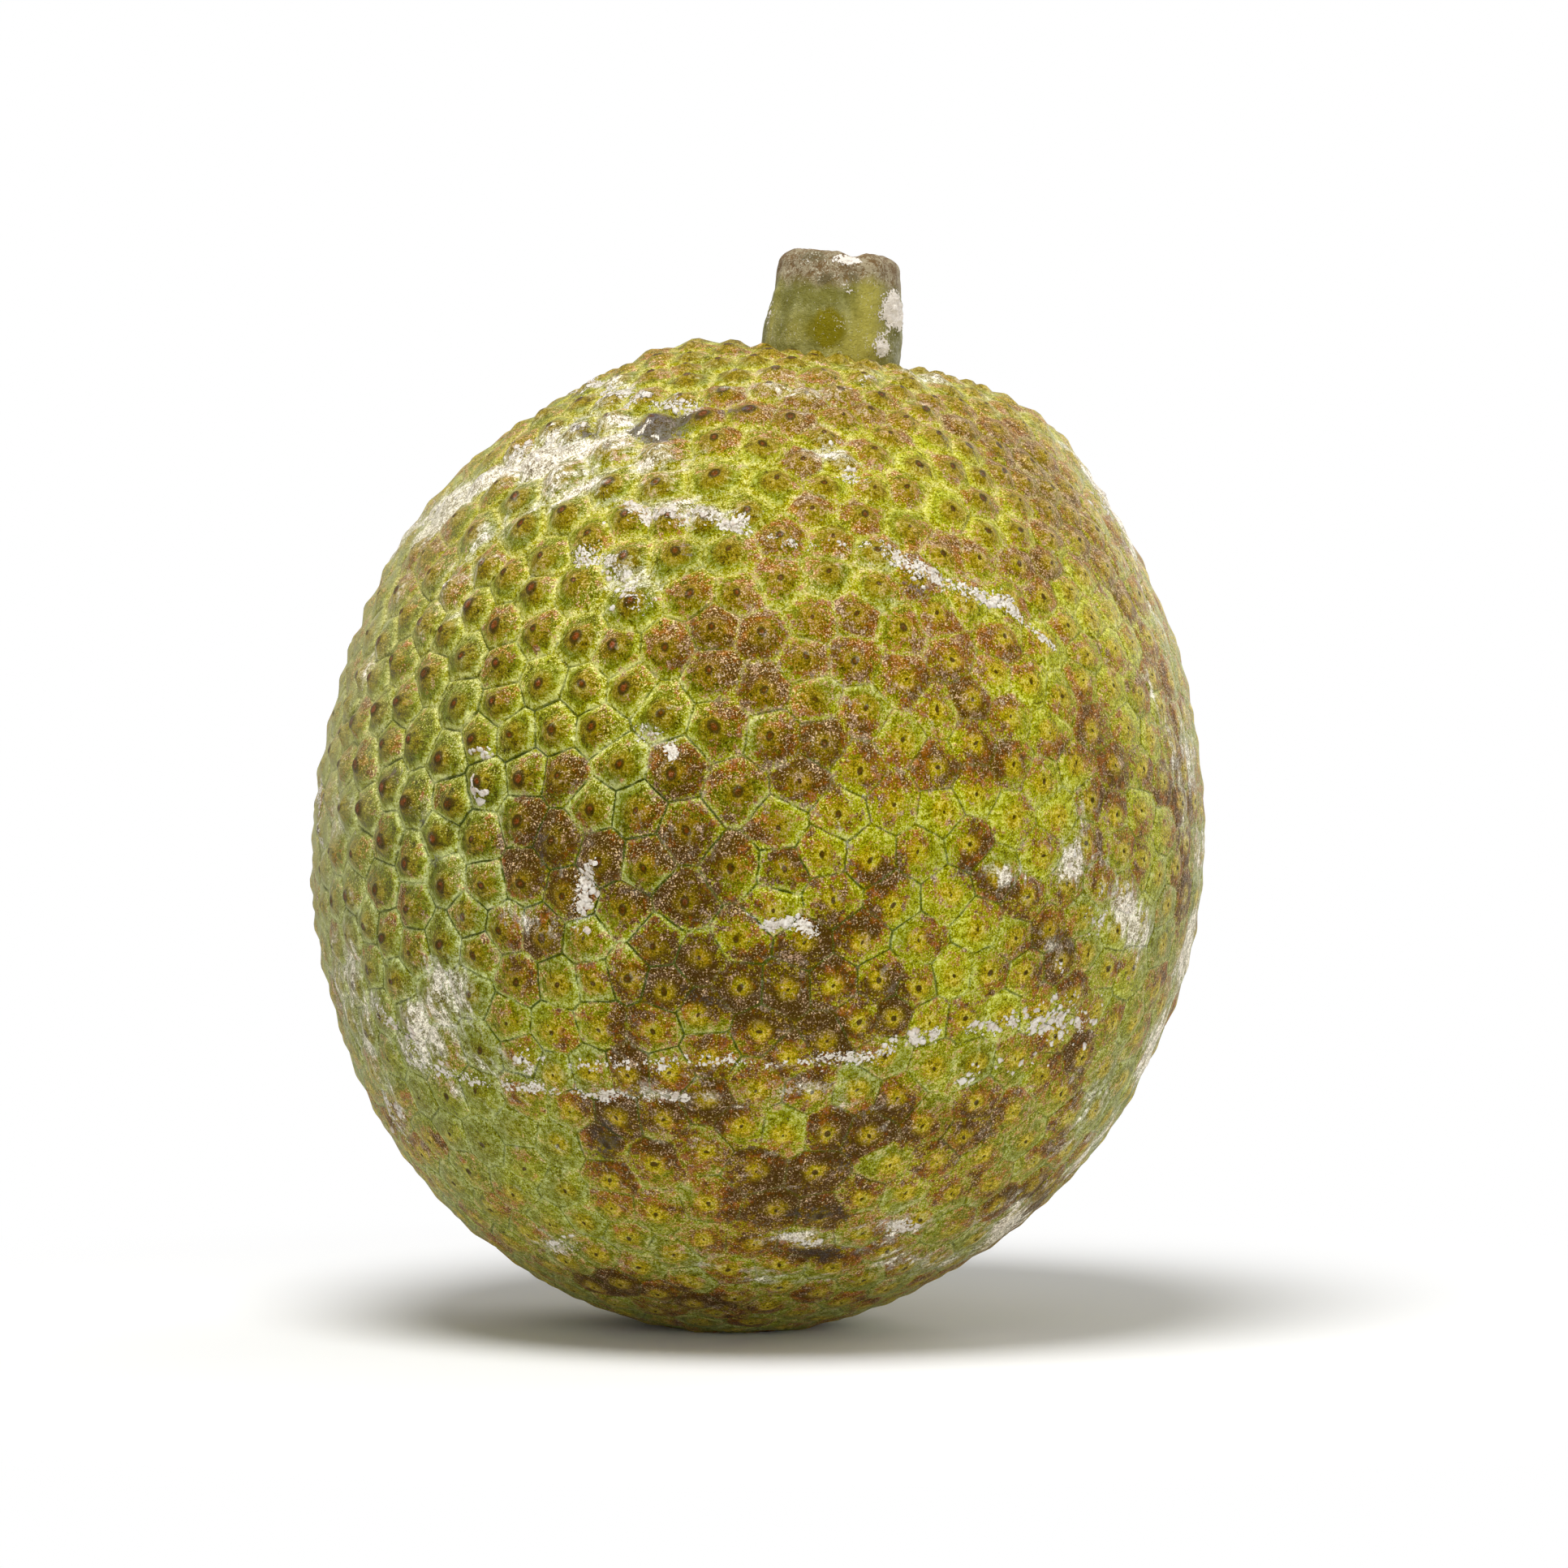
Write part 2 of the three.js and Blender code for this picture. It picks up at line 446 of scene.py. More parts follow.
# One row of values for each vertex: mm from the groove, mm from the tip, mm from the slit with
# its width squeezed, how far up the leaning side, and the segment's own tone and kind of scar.
VALUES = ("rim", "scar", "slit", "lean", "tone", "scar_kind")
rows = [(0.0, 9.0, 9.0, 0.0, 0.5, 0.5)] * groove_count
lifts = [0.0] * groove_count
faces = []
for index, outline in enumerate(outlines):
    ring_directions = np.array([skin_directions[k] for k in outline])
    middle = unit(ring_directions.mean(axis=0))
    sideways, upwards = frame_at(middle)
    size = np.linalg.norm(ring_directions - middle, axis=1).mean()
    shift = scar_offset[index] * size
    tip = unit(middle + sideways * shift[0] + upwards * shift[1])
    spokes = ring_directions - tip
    lengths = np.linalg.norm(spokes, axis=1)
    spokes = spokes / lengths[:, None]
    mean_length = lengths.mean()
    mean_mm = mean_length * MEAN_RADIUS
    relief = relief_of_segment[index]
    scar = scar_of_segment[index]
    scar_mm = (0.45 + 0.45 * relief) * (0.7 + 0.6 * scar)
    slit = (math.cos(slit_turn[index]), math.sin(slit_turn[index]))
    leaning = (math.cos(lean_turn[index]), math.sin(lean_turn[index]))

    def laid_flat(towards):
        return np.array(((towards - tip) @ sideways, (towards - tip) @ upwards)) * MEAN_RADIUS

    flat = laid_flat(ring_directions).T
    along = np.roll(flat, -1, axis=0) - flat
    along_squared = (along ** 2).sum(axis=1)

    def from_groove(point):
        share = np.clip(((point - flat) * along).sum(axis=1) / along_squared, 0.0, 1.0)
        return np.linalg.norm(point - flat - along * share[:, None], axis=1).min()

    def dome(share):
        rounded = (1.0 - POINTED_PART) * math.cos(share * math.pi / 2) ** 2
        pointed = POINTED_PART * max(0.0, 1.0 - share / POINT_REACH) ** 2
        return relief * DOME_HEIGHT * (rounded + pointed - SUNK_SHARE)

    def new_vertex(towards, lift):
        x, y = at = laid_flat(towards)
        along_slit = x * slit[0] + y * slit[1]
        across_slit = (y * slit[0] - x * slit[1]) * slit_squeeze[index]
        slit_distance = math.hypot(along_slit, across_slit)
        lean = (x * leaning[0] + y * leaning[1]) / mean_mm
        from_tip = float(np.linalg.norm(at))
        skin_directions.append(tuple(towards))
        lifts.append(lift)
        rows.append((from_groove(at), from_tip, slit_distance, lean, tone_of_segment[index], scar))
        return len(skin_directions) - 1

    rings = [outline]
    for share in (1.0 - GROOVE_WIDTH / mean_mm,) + RING_SHARES:
        kept = share ** 2
        ring = []
        for spoke, length in zip(spokes, lengths):
            far = share * (length * kept + mean_length * (1.0 - kept))
            ring.append(new_vertex(unit(tip + spoke * far), dome(share)))
        rings.append(ring)
    inner_share = min(LARGEST_SCAR_SHARE, scar_mm / mean_mm)
    inner_lift = dome(inner_share) + SCAR_RIM_HEIGHT * scar_mm
    inner = []
    for spoke in spokes[::2]:
        inner.append(new_vertex(unit(tip + spoke * inner_share * mean_length), inner_lift))
    pit = new_vertex(tip, dome(0.0) - SCAR_PIT_DEPTH * scar_mm)

    around = range(len(outline))
    for outer, nearer in zip(rings, rings[1:]):
        for k in around:
            following = (k + 1) % len(outline)
            faces.append((nearer[k], outer[k], outer[following], nearer[following]))
    last = rings[-1]
    for k in around:
        following = (k + 1) % len(outline)
        here = inner[((k + 1) // 2) % len(inner)]
        there = inner[((k + 2) // 2) % len(inner)]
        faces.append((here, last[k], last[following]))
        if here != there:
            faces.append((here, last[following], there))
    for k in range(len(inner)):
        faces.append((pit, inner[k], inner[(k + 1) % len(inner)]))

skin = np.array(skin_directions)
values = np.array(rows)
lift = np.array(lifts)
relief = relief_at(skin)
in_groove = relief[:groove_count]
lift[:groove_count] = -in_groove * DOME_HEIGHT * SUNK_SHARE - GROOVE_DEPTH * (0.35 + 0.65 * in_groove)

# The whole skin is a little uneven, and it is pressed flat where it rests.
UNEVENNESS = 0.45
uneven = [noise.noise(Vector(d * 5.0)) + 0.5 * noise.noise(Vector(d * 11.0)) for d in skin]
radius = skin_radius(skin) + lift + UNEVENNESS * np.array(uneven)
points = skin * radius[:, None] + fruit_middle
points[:, 2] = np.maximum(points[:, 2], 0.0)

rind_mesh = bpy.data.meshes.new("rind")
rind_mesh.from_pydata(points * MM, [], faces)
rind_mesh.shade_smooth()


def store(mesh, name, numbers):
    """Keeps one number for each vertex, for the mesh's material to read."""
    layer = mesh.attributes.new(name, "FLOAT", "POINT")
    layer.data.foreach_set("value", np.asarray(numbers, dtype=np.float32))


for column, name in enumerate(VALUES):
    store(rind_mesh, name, values[:, column])
store(rind_mesh, "relief", relief)

# Where the rind is yellow-green rather than grey-green, where it has gone brown, where it is
# bruised, where its bloom is rubbed pale, where it is worn to short fibres, and where latex from
# picking has dried on it. Marks on the front are placed in mm across and up, those round the
# back by heading and height in degrees, each with half its width and height in mm and a strength.
BROWN_FRONT = [
    (12, 166, 14, 8, 0.65), (32, 167, 5, 4, 0.9), (24, 170, 6, 3, 0.6), (46, 161, 8, 8, 1.0),
    (54, 151, 8, 9, 1.1), (60, 142, 6, 7, 0.9), (64, 134, 4, 5, 0.8), (35, 141, 14, 5, 0.9),
    (27, 147, 5, 3, 0.5), (48, 138, 6, 4, 0.7), (14, 140, 5, 4, 0.7), (2, 139, 5, 4, 0.6),
    (27, 134, 4, 3, 0.7), (47, 122, 6, 4, 0.9), (40, 126, 4, 3, 0.6), (62, 122, 3, 3, 0.7),
    (33, 115, 5, 5, 0.6), (41, 105, 5, 6, 0.8), (33, 101, 6, 4, 0.6), (8, 122, 14, 12, 0.35),
    (-2, 118, 8, 7, 0.7), (-13, 122, 8, 6, 0.7), (-12, 133, 7, 4, 0.7), (-26, 126, 6, 4, 0.5),
    (-14, 141, 5, 4, 0.6), (8, 104, 6, 6, 1.0), (0, 100, 9, 7, 0.8), (-13, 100, 8, 5, 0.5),
    (18, 108, 6, 9, 0.5), (16, 91, 7, 9, 0.5), (22, 82, 5, 3, 1.0), (-40, 95, 4, 8, 1.1),
    (-37, 90, 5, 5, 1.1), (-33, 100, 5, 3, 0.9), (-42, 84, 7, 5, 1.1), (-36, 79, 7, 5, 0.9),
    (-48, 88, 5, 4, 0.6), (-20, 87, 12, 4, 1.0), (-12, 86, 7, 5, 1.0), (-20, 78, 10, 3, 1.2),
    (-9, 76, 9, 4, 0.9), (-8, 92, 9, 4, 0.7), (-20, 94, 7, 4, 0.6), (-28, 85, 5, 4, 0.8),
    (-36, 68, 6, 6, 1.0), (-45, 66, 7, 5, 0.6), (-51, 78, 5, 5, 0.6), (-15, 66, 6, 4, 1.2),
    (-12, 61, 12, 3.5, 1.3), (-23, 61, 5, 4, 1.1), (-24, 52, 4, 6, 1.0), (-2, 58, 7, 3, 1.2),
    (6, 55, 9, 4, 1.0), (15, 53, 8, 4, 1.0), (24, 57, 5, 5, 0.8), (22, 62, 5, 3, 1.0),
    (10, 63, 7, 4, 0.7), (2, 66, 7, 3, 0.9), (14, 74, 6, 3, 1.1), (13, 69, 6, 3, 1.0),
    (20, 72, 4, 4, 0.8), (38, 82, 4, 3, 1.1), (45, 78, 7, 3, 0.8), (50, 70, 7, 5, 1.1),
    (56, 67, 4, 5, 1.0), (49, 63, 6, 3, 0.8), (40, 89, 4, 3, 0.5), (52, 85, 3, 4, 0.5),
    (69, 86, 3, 5, 0.9), (57, 104, 6, 3, 0.9), (65, 100, 5, 7, 0.6), (60, 112, 4, 5, 0.6),
    (74, 114, 4, 9, 0.8), (68, 128, 4, 8, 0.6), (-28, 34, 4.5, 6, 1.2), (-21, 37, 4, 4, 0.9),
    (-12, 39, 10, 2.5, 1.0), (-31, 41, 4, 3, 0.8), (-8, 45, 12, 3, 0.5), (-10, 33, 10, 3, 0.5),
    (16, 33, 4, 5, 1.2), (23, 37, 7, 4, 1.1), (31, 36, 8, 5, 1.2), (39, 35, 5, 5, 0.9),
    (5, 26, 7, 4, 1.1), (0, 21, 9, 4, 0.8), (10, 20, 8, 4, 1.2), (18, 25, 6, 3, 0.8),
    (12, 13, 9, 3, 1.3), (21, 17, 7, 3, 0.8), (-12, 20, 10, 3, 0.7), (-4, 15, 9, 3, 0.9),
    (5, 47, 14, 3, 0.4), (54, 50, 7, 3, 1.0), (58, 44, 5, 5, 0.8), (61, 58, 4, 6, 0.8),
    (54, 34, 7, 5, 0.95), (41, 24, 9, 4, 0.95), (51, 25, 7, 3, 0.7), (-30, 8, 10, 3, 0.8),
    (-14, 5, 12, 3, 0.7), (12, 5, 12, 3, 0.4), (-57, 33, 4, 3, 0.7), (-48, 24, 6, 3, 0.5),
    (-46, 12, 7, 3, 0.5), (-66, 60, 4, 5, 0.5), (-60, 120, 5, 5, 0.3), (-60, 98, 5, 5, 0.3),
    (16, 104, 22, 14, 0.38), (34, 116, 14, 9, 0.35), (4, 84, 26, 8, 0.3), (14, 168, 20, 8, 0.75),
    (50, 150, 12, 14, 0.3), (-2, 165, 7, 3, 0.8), (8, 157, 5, 6, 0.8), (12, 151, 8, 3, 0.7),
    (4, 144, 5, 3, 0.6), (40, 161, 5, 6, 0.7), (-6, 126, 12, 9, 0.25), (12, 123, 10, 7, 0.2),
    (68, 112, 10, 16, 0.35), (60, 92, 12, 8, 0.3), (40, 100, 12, 10, 0.3), (10, 30, 40, 13, 0.38),
    (-20, 36, 22, 9, 0.25), (15, 58, 26, 8, 0.32), (-4, 66, 20, 8, 0.3), (66, 142, 9, 14, 0.35),
    (54, 146, 12, 12, 0.35), (79, 118, 7, 10, 0.7), (76, 99, 8, 9, 0.65), (78, 80, 8, 9, 0.7),
    (72, 144, 7, 8, 0.7), (75, 131, 6, 7, 0.6), (-34, 10, 20, 6, 0.4),
]
BROWN_BACK = [
    (20, 30, 14, 9, 0.9), (48, 8, 11, 14, 0.8), (75, 38, 16, 8, 0.9), (100, -6, 13, 10, 0.9),
    (128, 24, 10, 13, 0.8), (150, -22, 15, 8, 0.9), (176, 10, 9, 11, 0.7), (205, 40, 12, 7, 0.6),
    (60, -34, 14, 7, 1.0), (112, -48, 16, 8, 0.9), (20, -18, 9, 12, 0.9), (85, 62, 14, 8, 0.9),
    (160, 58, 13, 7, 0.8), (340, -52, 14, 8, 0.9), (200, -36, 10, 7, 0.7), (250, -66, 14, 8, 0.9),
    (135, -4, 8, 7, 0.7), (62, 20, 8, 6, 0.6), (185, 28, 8, 6, 0.5), (90, 12, 9, 6, 0.7),
    (30, -46, 12, 6, 0.8), (84, -18, 12, 5, 0.8), (160, -48, 14, 6, 0.8), (118, 44, 9, 6, 0.6),
]
GREEN_FRONT = [
    (32, 155, 20, 12, 1.1), (62, 132, 12, 20, 0.9), (48, 112, 24, 30, 0.8), (32, 76, 16, 14, 1.1),
    (38, 58, 18, 9, 0.9), (50, 92, 18, 12, 0.7), (-5, 155, 18, 10, 0.45), (-38, 118, 26, 20, 0.3),
    (0, 82, 14, 10, 0.8), (-25, 110, 24, 14, 0.35), (5, 62, 22, 8, 0.6), (-18, 72, 14, 6, 0.7),
    (70, 90, 9, 40, 0.9), (28, 28, 12, 5, 0.7), (4, 34, 14, 5, 0.6), (-32, 56, 12, 6, 0.3),
    (16, 95, 10, 14, 0.6),
]
BRUISES = [
    (-15, 164.5, 6, 3.2, 1.1), (-19, 162, 4, 2, 0.9), (-4, 166, 5, 2.2, 0.8),
    (-31, 161.5, 3, 1.6, 0.9), (-37, 159.5, 2, 1.5, 0.8), (-23, 163, 2, 1.3, 0.8),
    (-62, 92, 2.5, 3, 0.6), (-66, 100, 2.5, 2.5, 0.6), (-28, 33, 4, 5, 0.9), (-59, 84, 3, 3, 0.6),
    (-11, 60, 8, 2, 0.7), (-40, 88, 5, 4, 0.6), (10, 21, 8, 3, 0.8), (57, 152, 5, 3, 0.4),
    (12, 13, 8, 2.5, 0.9), (16, 32, 4, 4, 0.6), (-70, 88, 8, 14, 0.35), (27, 134, 4, 2, 0.6),
    (54, 70, 5, 3, 0.5), (-20, 78, 8, 2, 0.5), (-14, 141, 4, 3, 0.6), (-45, 72, 6, 3, 0.4),
]
HAZE_FRONT = [
    (-38, 156, 12, 7, 0.8), (-21, 158, 10, 6, 0.75), (4, 170, 12, 5, 0.65), (30, 172, 10, 4, 0.55),
    (-54, 136, 8, 8, 0.6), (-14, 148, 11, 3, 0.9), (-58, 147, 6, 8, 0.8), (-27, 171, 8, 3, 0.9),
    (-23, 164, 6, 3, 0.8), (-23, 136, 6, 3, 0.8), (13, 158, 5, 3, 0.9), (56.5, 83.5, 5, 5, 1.1),
    (45, 81.5, 6, 3, 0.95), (67, 75, 5, 6, 1.0), (70, 71, 4, 4, 0.9), (-56, 60, 7, 8, 1.0),
    (-61, 53, 5, 6, 1.0), (-42, 73, 7, 3, 0.8), (-77, 92, 7, 8, 0.6), (-74, 66, 7, 10, 0.65),
    (78, 104, 8, 9, 0.7), (80, 86, 9, 7, 0.75), (77, 66, 8, 8, 0.8), (71, 50, 7, 7, 0.6),
    (53.5, 69, 4, 4, 0.8), (60, 92, 5, 4, 0.4), (25, 18, 6, 4, 0.8), (8, 16, 7, 3, 0.8),
    (-37, 15, 9, 3, 0.7), (0, 9, 16, 3, 0.6), (28, 11, 14, 4, 0.7), (60, 40, 7, 14, 0.6),
    (-68, 45, 5, 14, 0.7), (-70, 122, 4, 14, 0.6), (62, 152, 4, 9, 0.9), (72, 128, 3, 10, 0.6),
    (-20, 106, 5, 3, 0.7), (45, 20, 10, 5, 0.6), (10, 42, 14, 2, 0.5), (-20, 42, 14, 2, 0.6),
    (-48, 47, 10, 3, 0.6), (20, 139, 10, 2, 0.5),
]
HAZE_BACK = [
    (95, 25, 16, 8, 0.7), (140, 0, 12, 14, 0.7), (40, -12, 12, 10, 0.6), (175, 42, 14, 8, 0.8),
    (120, -30, 18, 7, 0.6), (70, 0, 9, 12, 0.5), (15, 50, 9, 8, 0.6), (195, -20, 10, 12, 0.6),
    (352, -12, 8, 8, 0.8), (350, -28, 7, 9, 0.9), (345, -42, 7, 9, 0.9), (335, -56, 9, 7, 0.9),
    (155, 15, 10, 6, 0.7), (60, 50, 12, 6, 0.7), (90, -50, 16, 6, 0.6), (10, -35, 8, 10, 0.7),
]
FIBROUS_FRONT = [
    (50, 154, 16, 14, 1.0), (66, 132, 8, 18, 0.9), (77, 100, 9, 22, 1.0), (74, 62, 9, 16, 0.8),
    (-62, 60, 8, 14, 0.5), (-56, 30, 12, 10, 0.6), (-50, 154, 12, 8, 0.5),
]
FIBROUS_BACK = [
    (20, 20, 18, 22, 0.7), (85, -10, 20, 12, 0.6), (150, 30, 16, 14, 0.6), (120, -45, 20, 10, 0.6),
]
# Routes, by the same two kinds of place, each with its width in mm and a strength.
HAZE_STREAKS = [
    ([(-72, 128), (-66, 140), (-55, 150), (-40, 159), (-27, 167)], 2.8, 0.7),
    ([(-62, 142), (-52, 151.5), (-39, 157.5), (-26, 161)], 2.0, 0.65),
    ([(-50, 143), (-40, 149), (-30, 152)], 2.4, 0.6),
    ([(56, 159), (60, 154), (64, 148), (68, 139)], 2.6, 0.95),
    ([(70, 118), (74, 108), (77, 92)], 2.0, 0.6),
    ([(62, 84), (66, 74), (69, 64)], 3.0, 0.35),
    ([(-70, 60), (-64, 50), (-56, 42), (-44, 40)], 2.6, 0.4),
]
LATEX_FRONT = [
    ([(-34, 169), (-24, 168), (-12, 167)], 3.4, 0.62),
    ([(-66, 141), (-55, 150), (-43, 158), (-30, 163)], 4.6, 0.46),
    ([(-26, 149), (-14, 146.5), (-3, 146)], 3.0, 0.66),
    ([(-8, 147), (0, 143), (8, 141.5), (20, 141)], 1.4, 0.66),
    ([(23, 140.5), (28, 137), (38, 133), (45, 131)], 2.6, 0.8),
    ([(45, 131), (49, 127), (53, 123)], 1.4, 0.7),
    ([(-34, 140), (-27, 139), (-24, 134), (-21, 131)], 2.8, 0.66),
    ([(-31, 83), (-31.5, 78), (-32, 73)], 2.4, 0.78),
    ([(0, 73), (5, 73.5), (10, 72)], 2.0, 0.8),
    ([(-22, 108), (-18, 107)], 1.8, 0.62),
    ([(-16, 106), (-15.5, 103)], 1.7, 0.66),
    ([(-42, 48), (-27, 47.5), (-12, 48), (2, 47.5), (10, 48)], 1.4, 0.66),
    ([(10, 48), (18, 48.5), (26, 51), (32, 53)], 2.0, 0.7),
    ([(39, 54), (46, 55)], 1.8, 0.68),
    ([(50, 55), (56, 56), (60, 55)], 4.4, 0.5),
    ([(36, 45), (39, 44)], 1.6, 0.62),
    ([(-64, 49), (-56, 45.5), (-46, 43.5), (-36, 42)], 1.6, 0.68),
    ([(-33, 42), (-24, 41.5), (-14, 41)], 1.5, 0.72),
    ([(-43, 50), (-41, 46)], 1.8, 0.66),
    ([(-69, 58), (-65, 54), (-61, 50)], 2.4, 0.62),
    ([(-68, 42), (-65, 36)], 2.0, 0.72),
    ([(56, 159), (61, 152), (66, 142)], 2.4, 0.6),
    ([(61, 70), (63, 75), (65, 80)], 1.6, 0.46),
    ([(68, 68), (71, 77)], 2.6, 0.46),
    ([(56, 83), (58, 87)], 2.4, 0.42),
    ([(-39, 15), (-34, 14)], 2.2, 0.66),
    ([(24, 18), (28, 18)], 2.2, 0.68),
    ([(5, 16), (11, 15)], 2.4, 0.55),
    ([(12, 158), (15, 160)], 2.6, 0.5),
    ([(15, 155), (20, 153)], 1.6, 0.55),
    ([(-57, 62), (-52, 56)], 4.0, 0.42),
    ([(22, 172), (14, 168)], 1.4, 0.4),
    ([(44, 167), (56, 156), (66, 141), (71, 125)], 1.0, 0.34),
    ([(62, 79), (59, 71)], 1.8, 0.6),
    ([(54, 66.5), (56, 63), (58, 59)], 0.9, 0.6),
]
LATEX_BACK = [
    ([(20, 22), (38, 26), (58, 20), (80, 24), (98, 16)], 2.4, 0.62),
    ([(105, 12), (122, 4), (140, 8)], 2.2, 0.52),
    ([(50, -22), (72, -26), (95, -20), (118, -26), (140, -24)], 1.8, 0.56),
    ([(150, 40), (166, 48), (186, 46)], 3.8, 0.52),
    ([(160, -8), (163, -18), (161, -28)], 2.2, 0.66),
    ([(30, 52), (40, 56)], 2.0, 0.56),
    ([(50, 58), (60, 57), (70, 53)], 1.6, 0.6),
    ([(8, -30), (14, -38), (24, -44)], 2.0, 0.6),
    ([(188, 8), (194, 0)], 2.2, 0.66),
    ([(70, 2), (74, -4)], 2.8, 0.66),
    ([(112, 30), (116, 36)], 2.6, 0.62),
]
# centre, spread in degrees, amount
CREASED_PLACES = [
    (from_front(-40, 100), 30, 0.62),
    (from_front(-5, 75), 16, 0.35),
    (from_front(-25, 48), 20, 0.30),
    (from_front(32, 75), 20, 0.25),
    (direction(150, 20), 50, 0.50),
]
GREENER_PLACES = [(direction(60, 20), 55, 0.45)]
UNBROWNED_PLACES = [(from_front(-54, 40), 19, -0.48), (from_front(-56, 108), 20, -0.18)]
# along the left edge the rind is painted paler and bluer: partly a bloom, partly a painted sheen
BLOOM_AND_SHEEN_PLACES = [(direction(182, 8), 25, 1.0), (direction(182, 42), 16, 0.5)]
LEAST_CREASE = 0.62
LOWEST_VALUE = -0.6
HIGHEST_VALUE = 1.4
STRAY_MM = 1.176

# each place on the skin reads its marks a little way off, so that their edges wander
wander = np.array([noise.noise_vector(Vector(d * 9.0)) for d in skin])
strayed = unit(skin + wander * STRAY_MM / MEAN_RADIUS)


def patches(marks, towards):
    """The marks' strengths over the skin, each fading out over an ellipse of its own half sizes."""
    total = np.zeros(len(skin))
    for first, second, half_across, half_up, strength in marks:
        centre = towards(first, second)
        sideways, upwards = frame_at(centre)
        across = (strayed @ sideways - centre @ sideways) * MEAN_RADIUS / half_across
        up = (strayed @ upwards - centre @ upwards) * MEAN_RADIUS / half_up
        total += strength * np.exp(-(across ** 2 + up ** 2)) * (strayed @ centre > 0.2)
    return total


def laid_out(runs, towards):
    """Runs whose routes are directions from the fruit's middle."""
    return [([towards(*place) for place in route], width, strength) for route, width, strength in runs]


def streaks(runs):
    """For each run, its strength along its route, fading out over its width."""
    for route, width, strength in runs:
        nearest = np.full(len(strayed), 9.0)
        for start, end in zip(route, route[1:]):
            run = end - start
            share = np.clip((strayed - start) @ run / (run @ run), 0.0, 1.0)
            away = np.linalg.norm(strayed - start - share[:, None] * run, axis=1)
            nearest = np.minimum(nearest, away)
        yield strength * np.exp(-((nearest * MEAN_RADIUS / width) ** 2))


latex_runs = laid_out(LATEX_FRONT, from_front) + laid_out(LATEX_BACK, direction)
haze = patches(HAZE_FRONT, from_front) + patches(HAZE_BACK, direction)
haze += sum(streaks(laid_out(HAZE_STREAKS, from_front)))
brown = patches(BROWN_FRONT, from_front) + patches(BROWN_BACK, direction)
fields = {
    "bloom_and_sheen": mounds(skin, 0.0, BLOOM_AND_SHEEN_PLACES),
    "green": mounds(skin, patches(GREEN_FRONT, from_front), GREENER_PLACES),
    "brown": mounds(skin, brown, UNBROWNED_PLACES),
    "bruise": patches(BRUISES, from_front),
    "haze": haze,
    "latex": np.max(list(streaks(latex_runs)), axis=0),
    "crease": mounds(skin, LEAST_CREASE, CREASED_PLACES),
    "fibrous": patches(FIBROUS_FRONT, from_front) + patches(FIBROUS_BACK, direction),
}
for name, numbers in fields.items():
    store(rind_mesh, name, np.clip(numbers, LOWEST_VALUE, HIGHEST_VALUE))

# the way the rind was rubbed: in rings round its front
from_front_turn = np.arccos(np.clip(-skin[:, 1], -1.0, 1.0))
combed = np.column_stack((skin[:, 0] * 0.3, skin[:, 2] * 0.3, from_front_turn)) * MEAN_RADIUS * MM
layer = rind_mesh.attributes.new("combed", "FLOAT_VECTOR", "POINT")
layer.data.foreach_set("vector", combed.astype(np.float32).ravel())

# A map of the whole rind on one square, folded open from the front like an eight-sided die, so
# that its four seams meet at the back.
MAP_MARGIN = 0.97
vertex_of_loop = np.empty(len(rind_mesh.loops), dtype=np.int32)
rind_mesh.loops.foreach_get("vertex_index", vertex_of_loop)
face_of_loop = np.repeat(np.arange(len(faces)), [len(face) for face in faces])
turned_skin = np.column_stack((skin[:, 0], skin[:, 2], -skin[:, 1]))
turned_skin = turned_skin / np.abs(turned_skin).sum(axis=1)[:, None]
loop_place = turned_skin[vertex_of_loop]
face_place = np.zeros((len(faces), 3))
np.add.at(face_place, face_of_loop, loop_place)
side = np.where(face_place[face_of_loop, :2] < 0.0, -1.0, 1.0)
unfolded = (1.0 - loop_place[:, 1::-1] * side[:, ::-1]) * side
on_map = np.where(loop_place[:, 2:] >= 0.0, loop_place[:, :2], unfolded)
rind_map = rind_mesh.uv_layers.new(name="OFBake")
rind_map.data.foreach_set("uv", (0.5 + 0.5 * MAP_MARGIN * on_map).astype(np.float32).ravel())

rind = put_in_scene("rind", rind_mesh)
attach(rind, "root")
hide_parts("fruit")


def paint(code):
    """A colour from its six-figure code, as the renderer's linear numbers."""
    parts = [int(code[k:k + 2], 16) / 255 for k in (0, 2, 4)]
    return tuple(c / 12.92 if c <= 0.04045 else ((c + 0.055) / 1.055) ** 2.4 for c in parts) + (1.0,)


def blend(share, first, second):
    """Mixes two colours by a share of the second. At least one of the three is a field."""
    tree = next(part.tree for part in (share, first, second) if isinstance(part, Field))
    settings = {"data_type": "RGBA", "clamp_factor": True}
    return add_node(tree, "ShaderNodeMix", settings, 2, i0=share, i6=first, i7=second)


def cloud(place, size_mm, detail, roughness):
    """Soft random numbers from 0 to 1 whose lumps are about that size."""
    look = {"Scale": 1000.0 / size_mm, "Detail": detail, "Roughness": roughness}
    return add_node(place.tree, "ShaderNodeTexNoise", output="Fac", Vector=place, **look)


def value_of(tree, name, output="Fac"):
    """What was stored under that name for each vertex."""
    return add_node(tree, "ShaderNodeAttribute", {"attribute_name": name}, output)


def new_group(name, inputs, outputs):
    """An empty node group and its inputs. Sockets hold numbers unless named place or colour."""
    group = bpy.data.node_groups.new(name, "ShaderNodeTree")
    kinds = {"place": "NodeSocketVector", "colour": "NodeSocketColor"}
    for way, names in (("INPUT", inputs), ("OUTPUT", outputs)):
        for socket in names:
            kind = kinds.get(socket, "NodeSocketFloat")
            group.interface.new_socket(socket, in_out=way, socket_type=kind)
    given = group.nodes.new("NodeGroupInput").outputs
    return group, [Field(given[socket]) for socket in inputs]


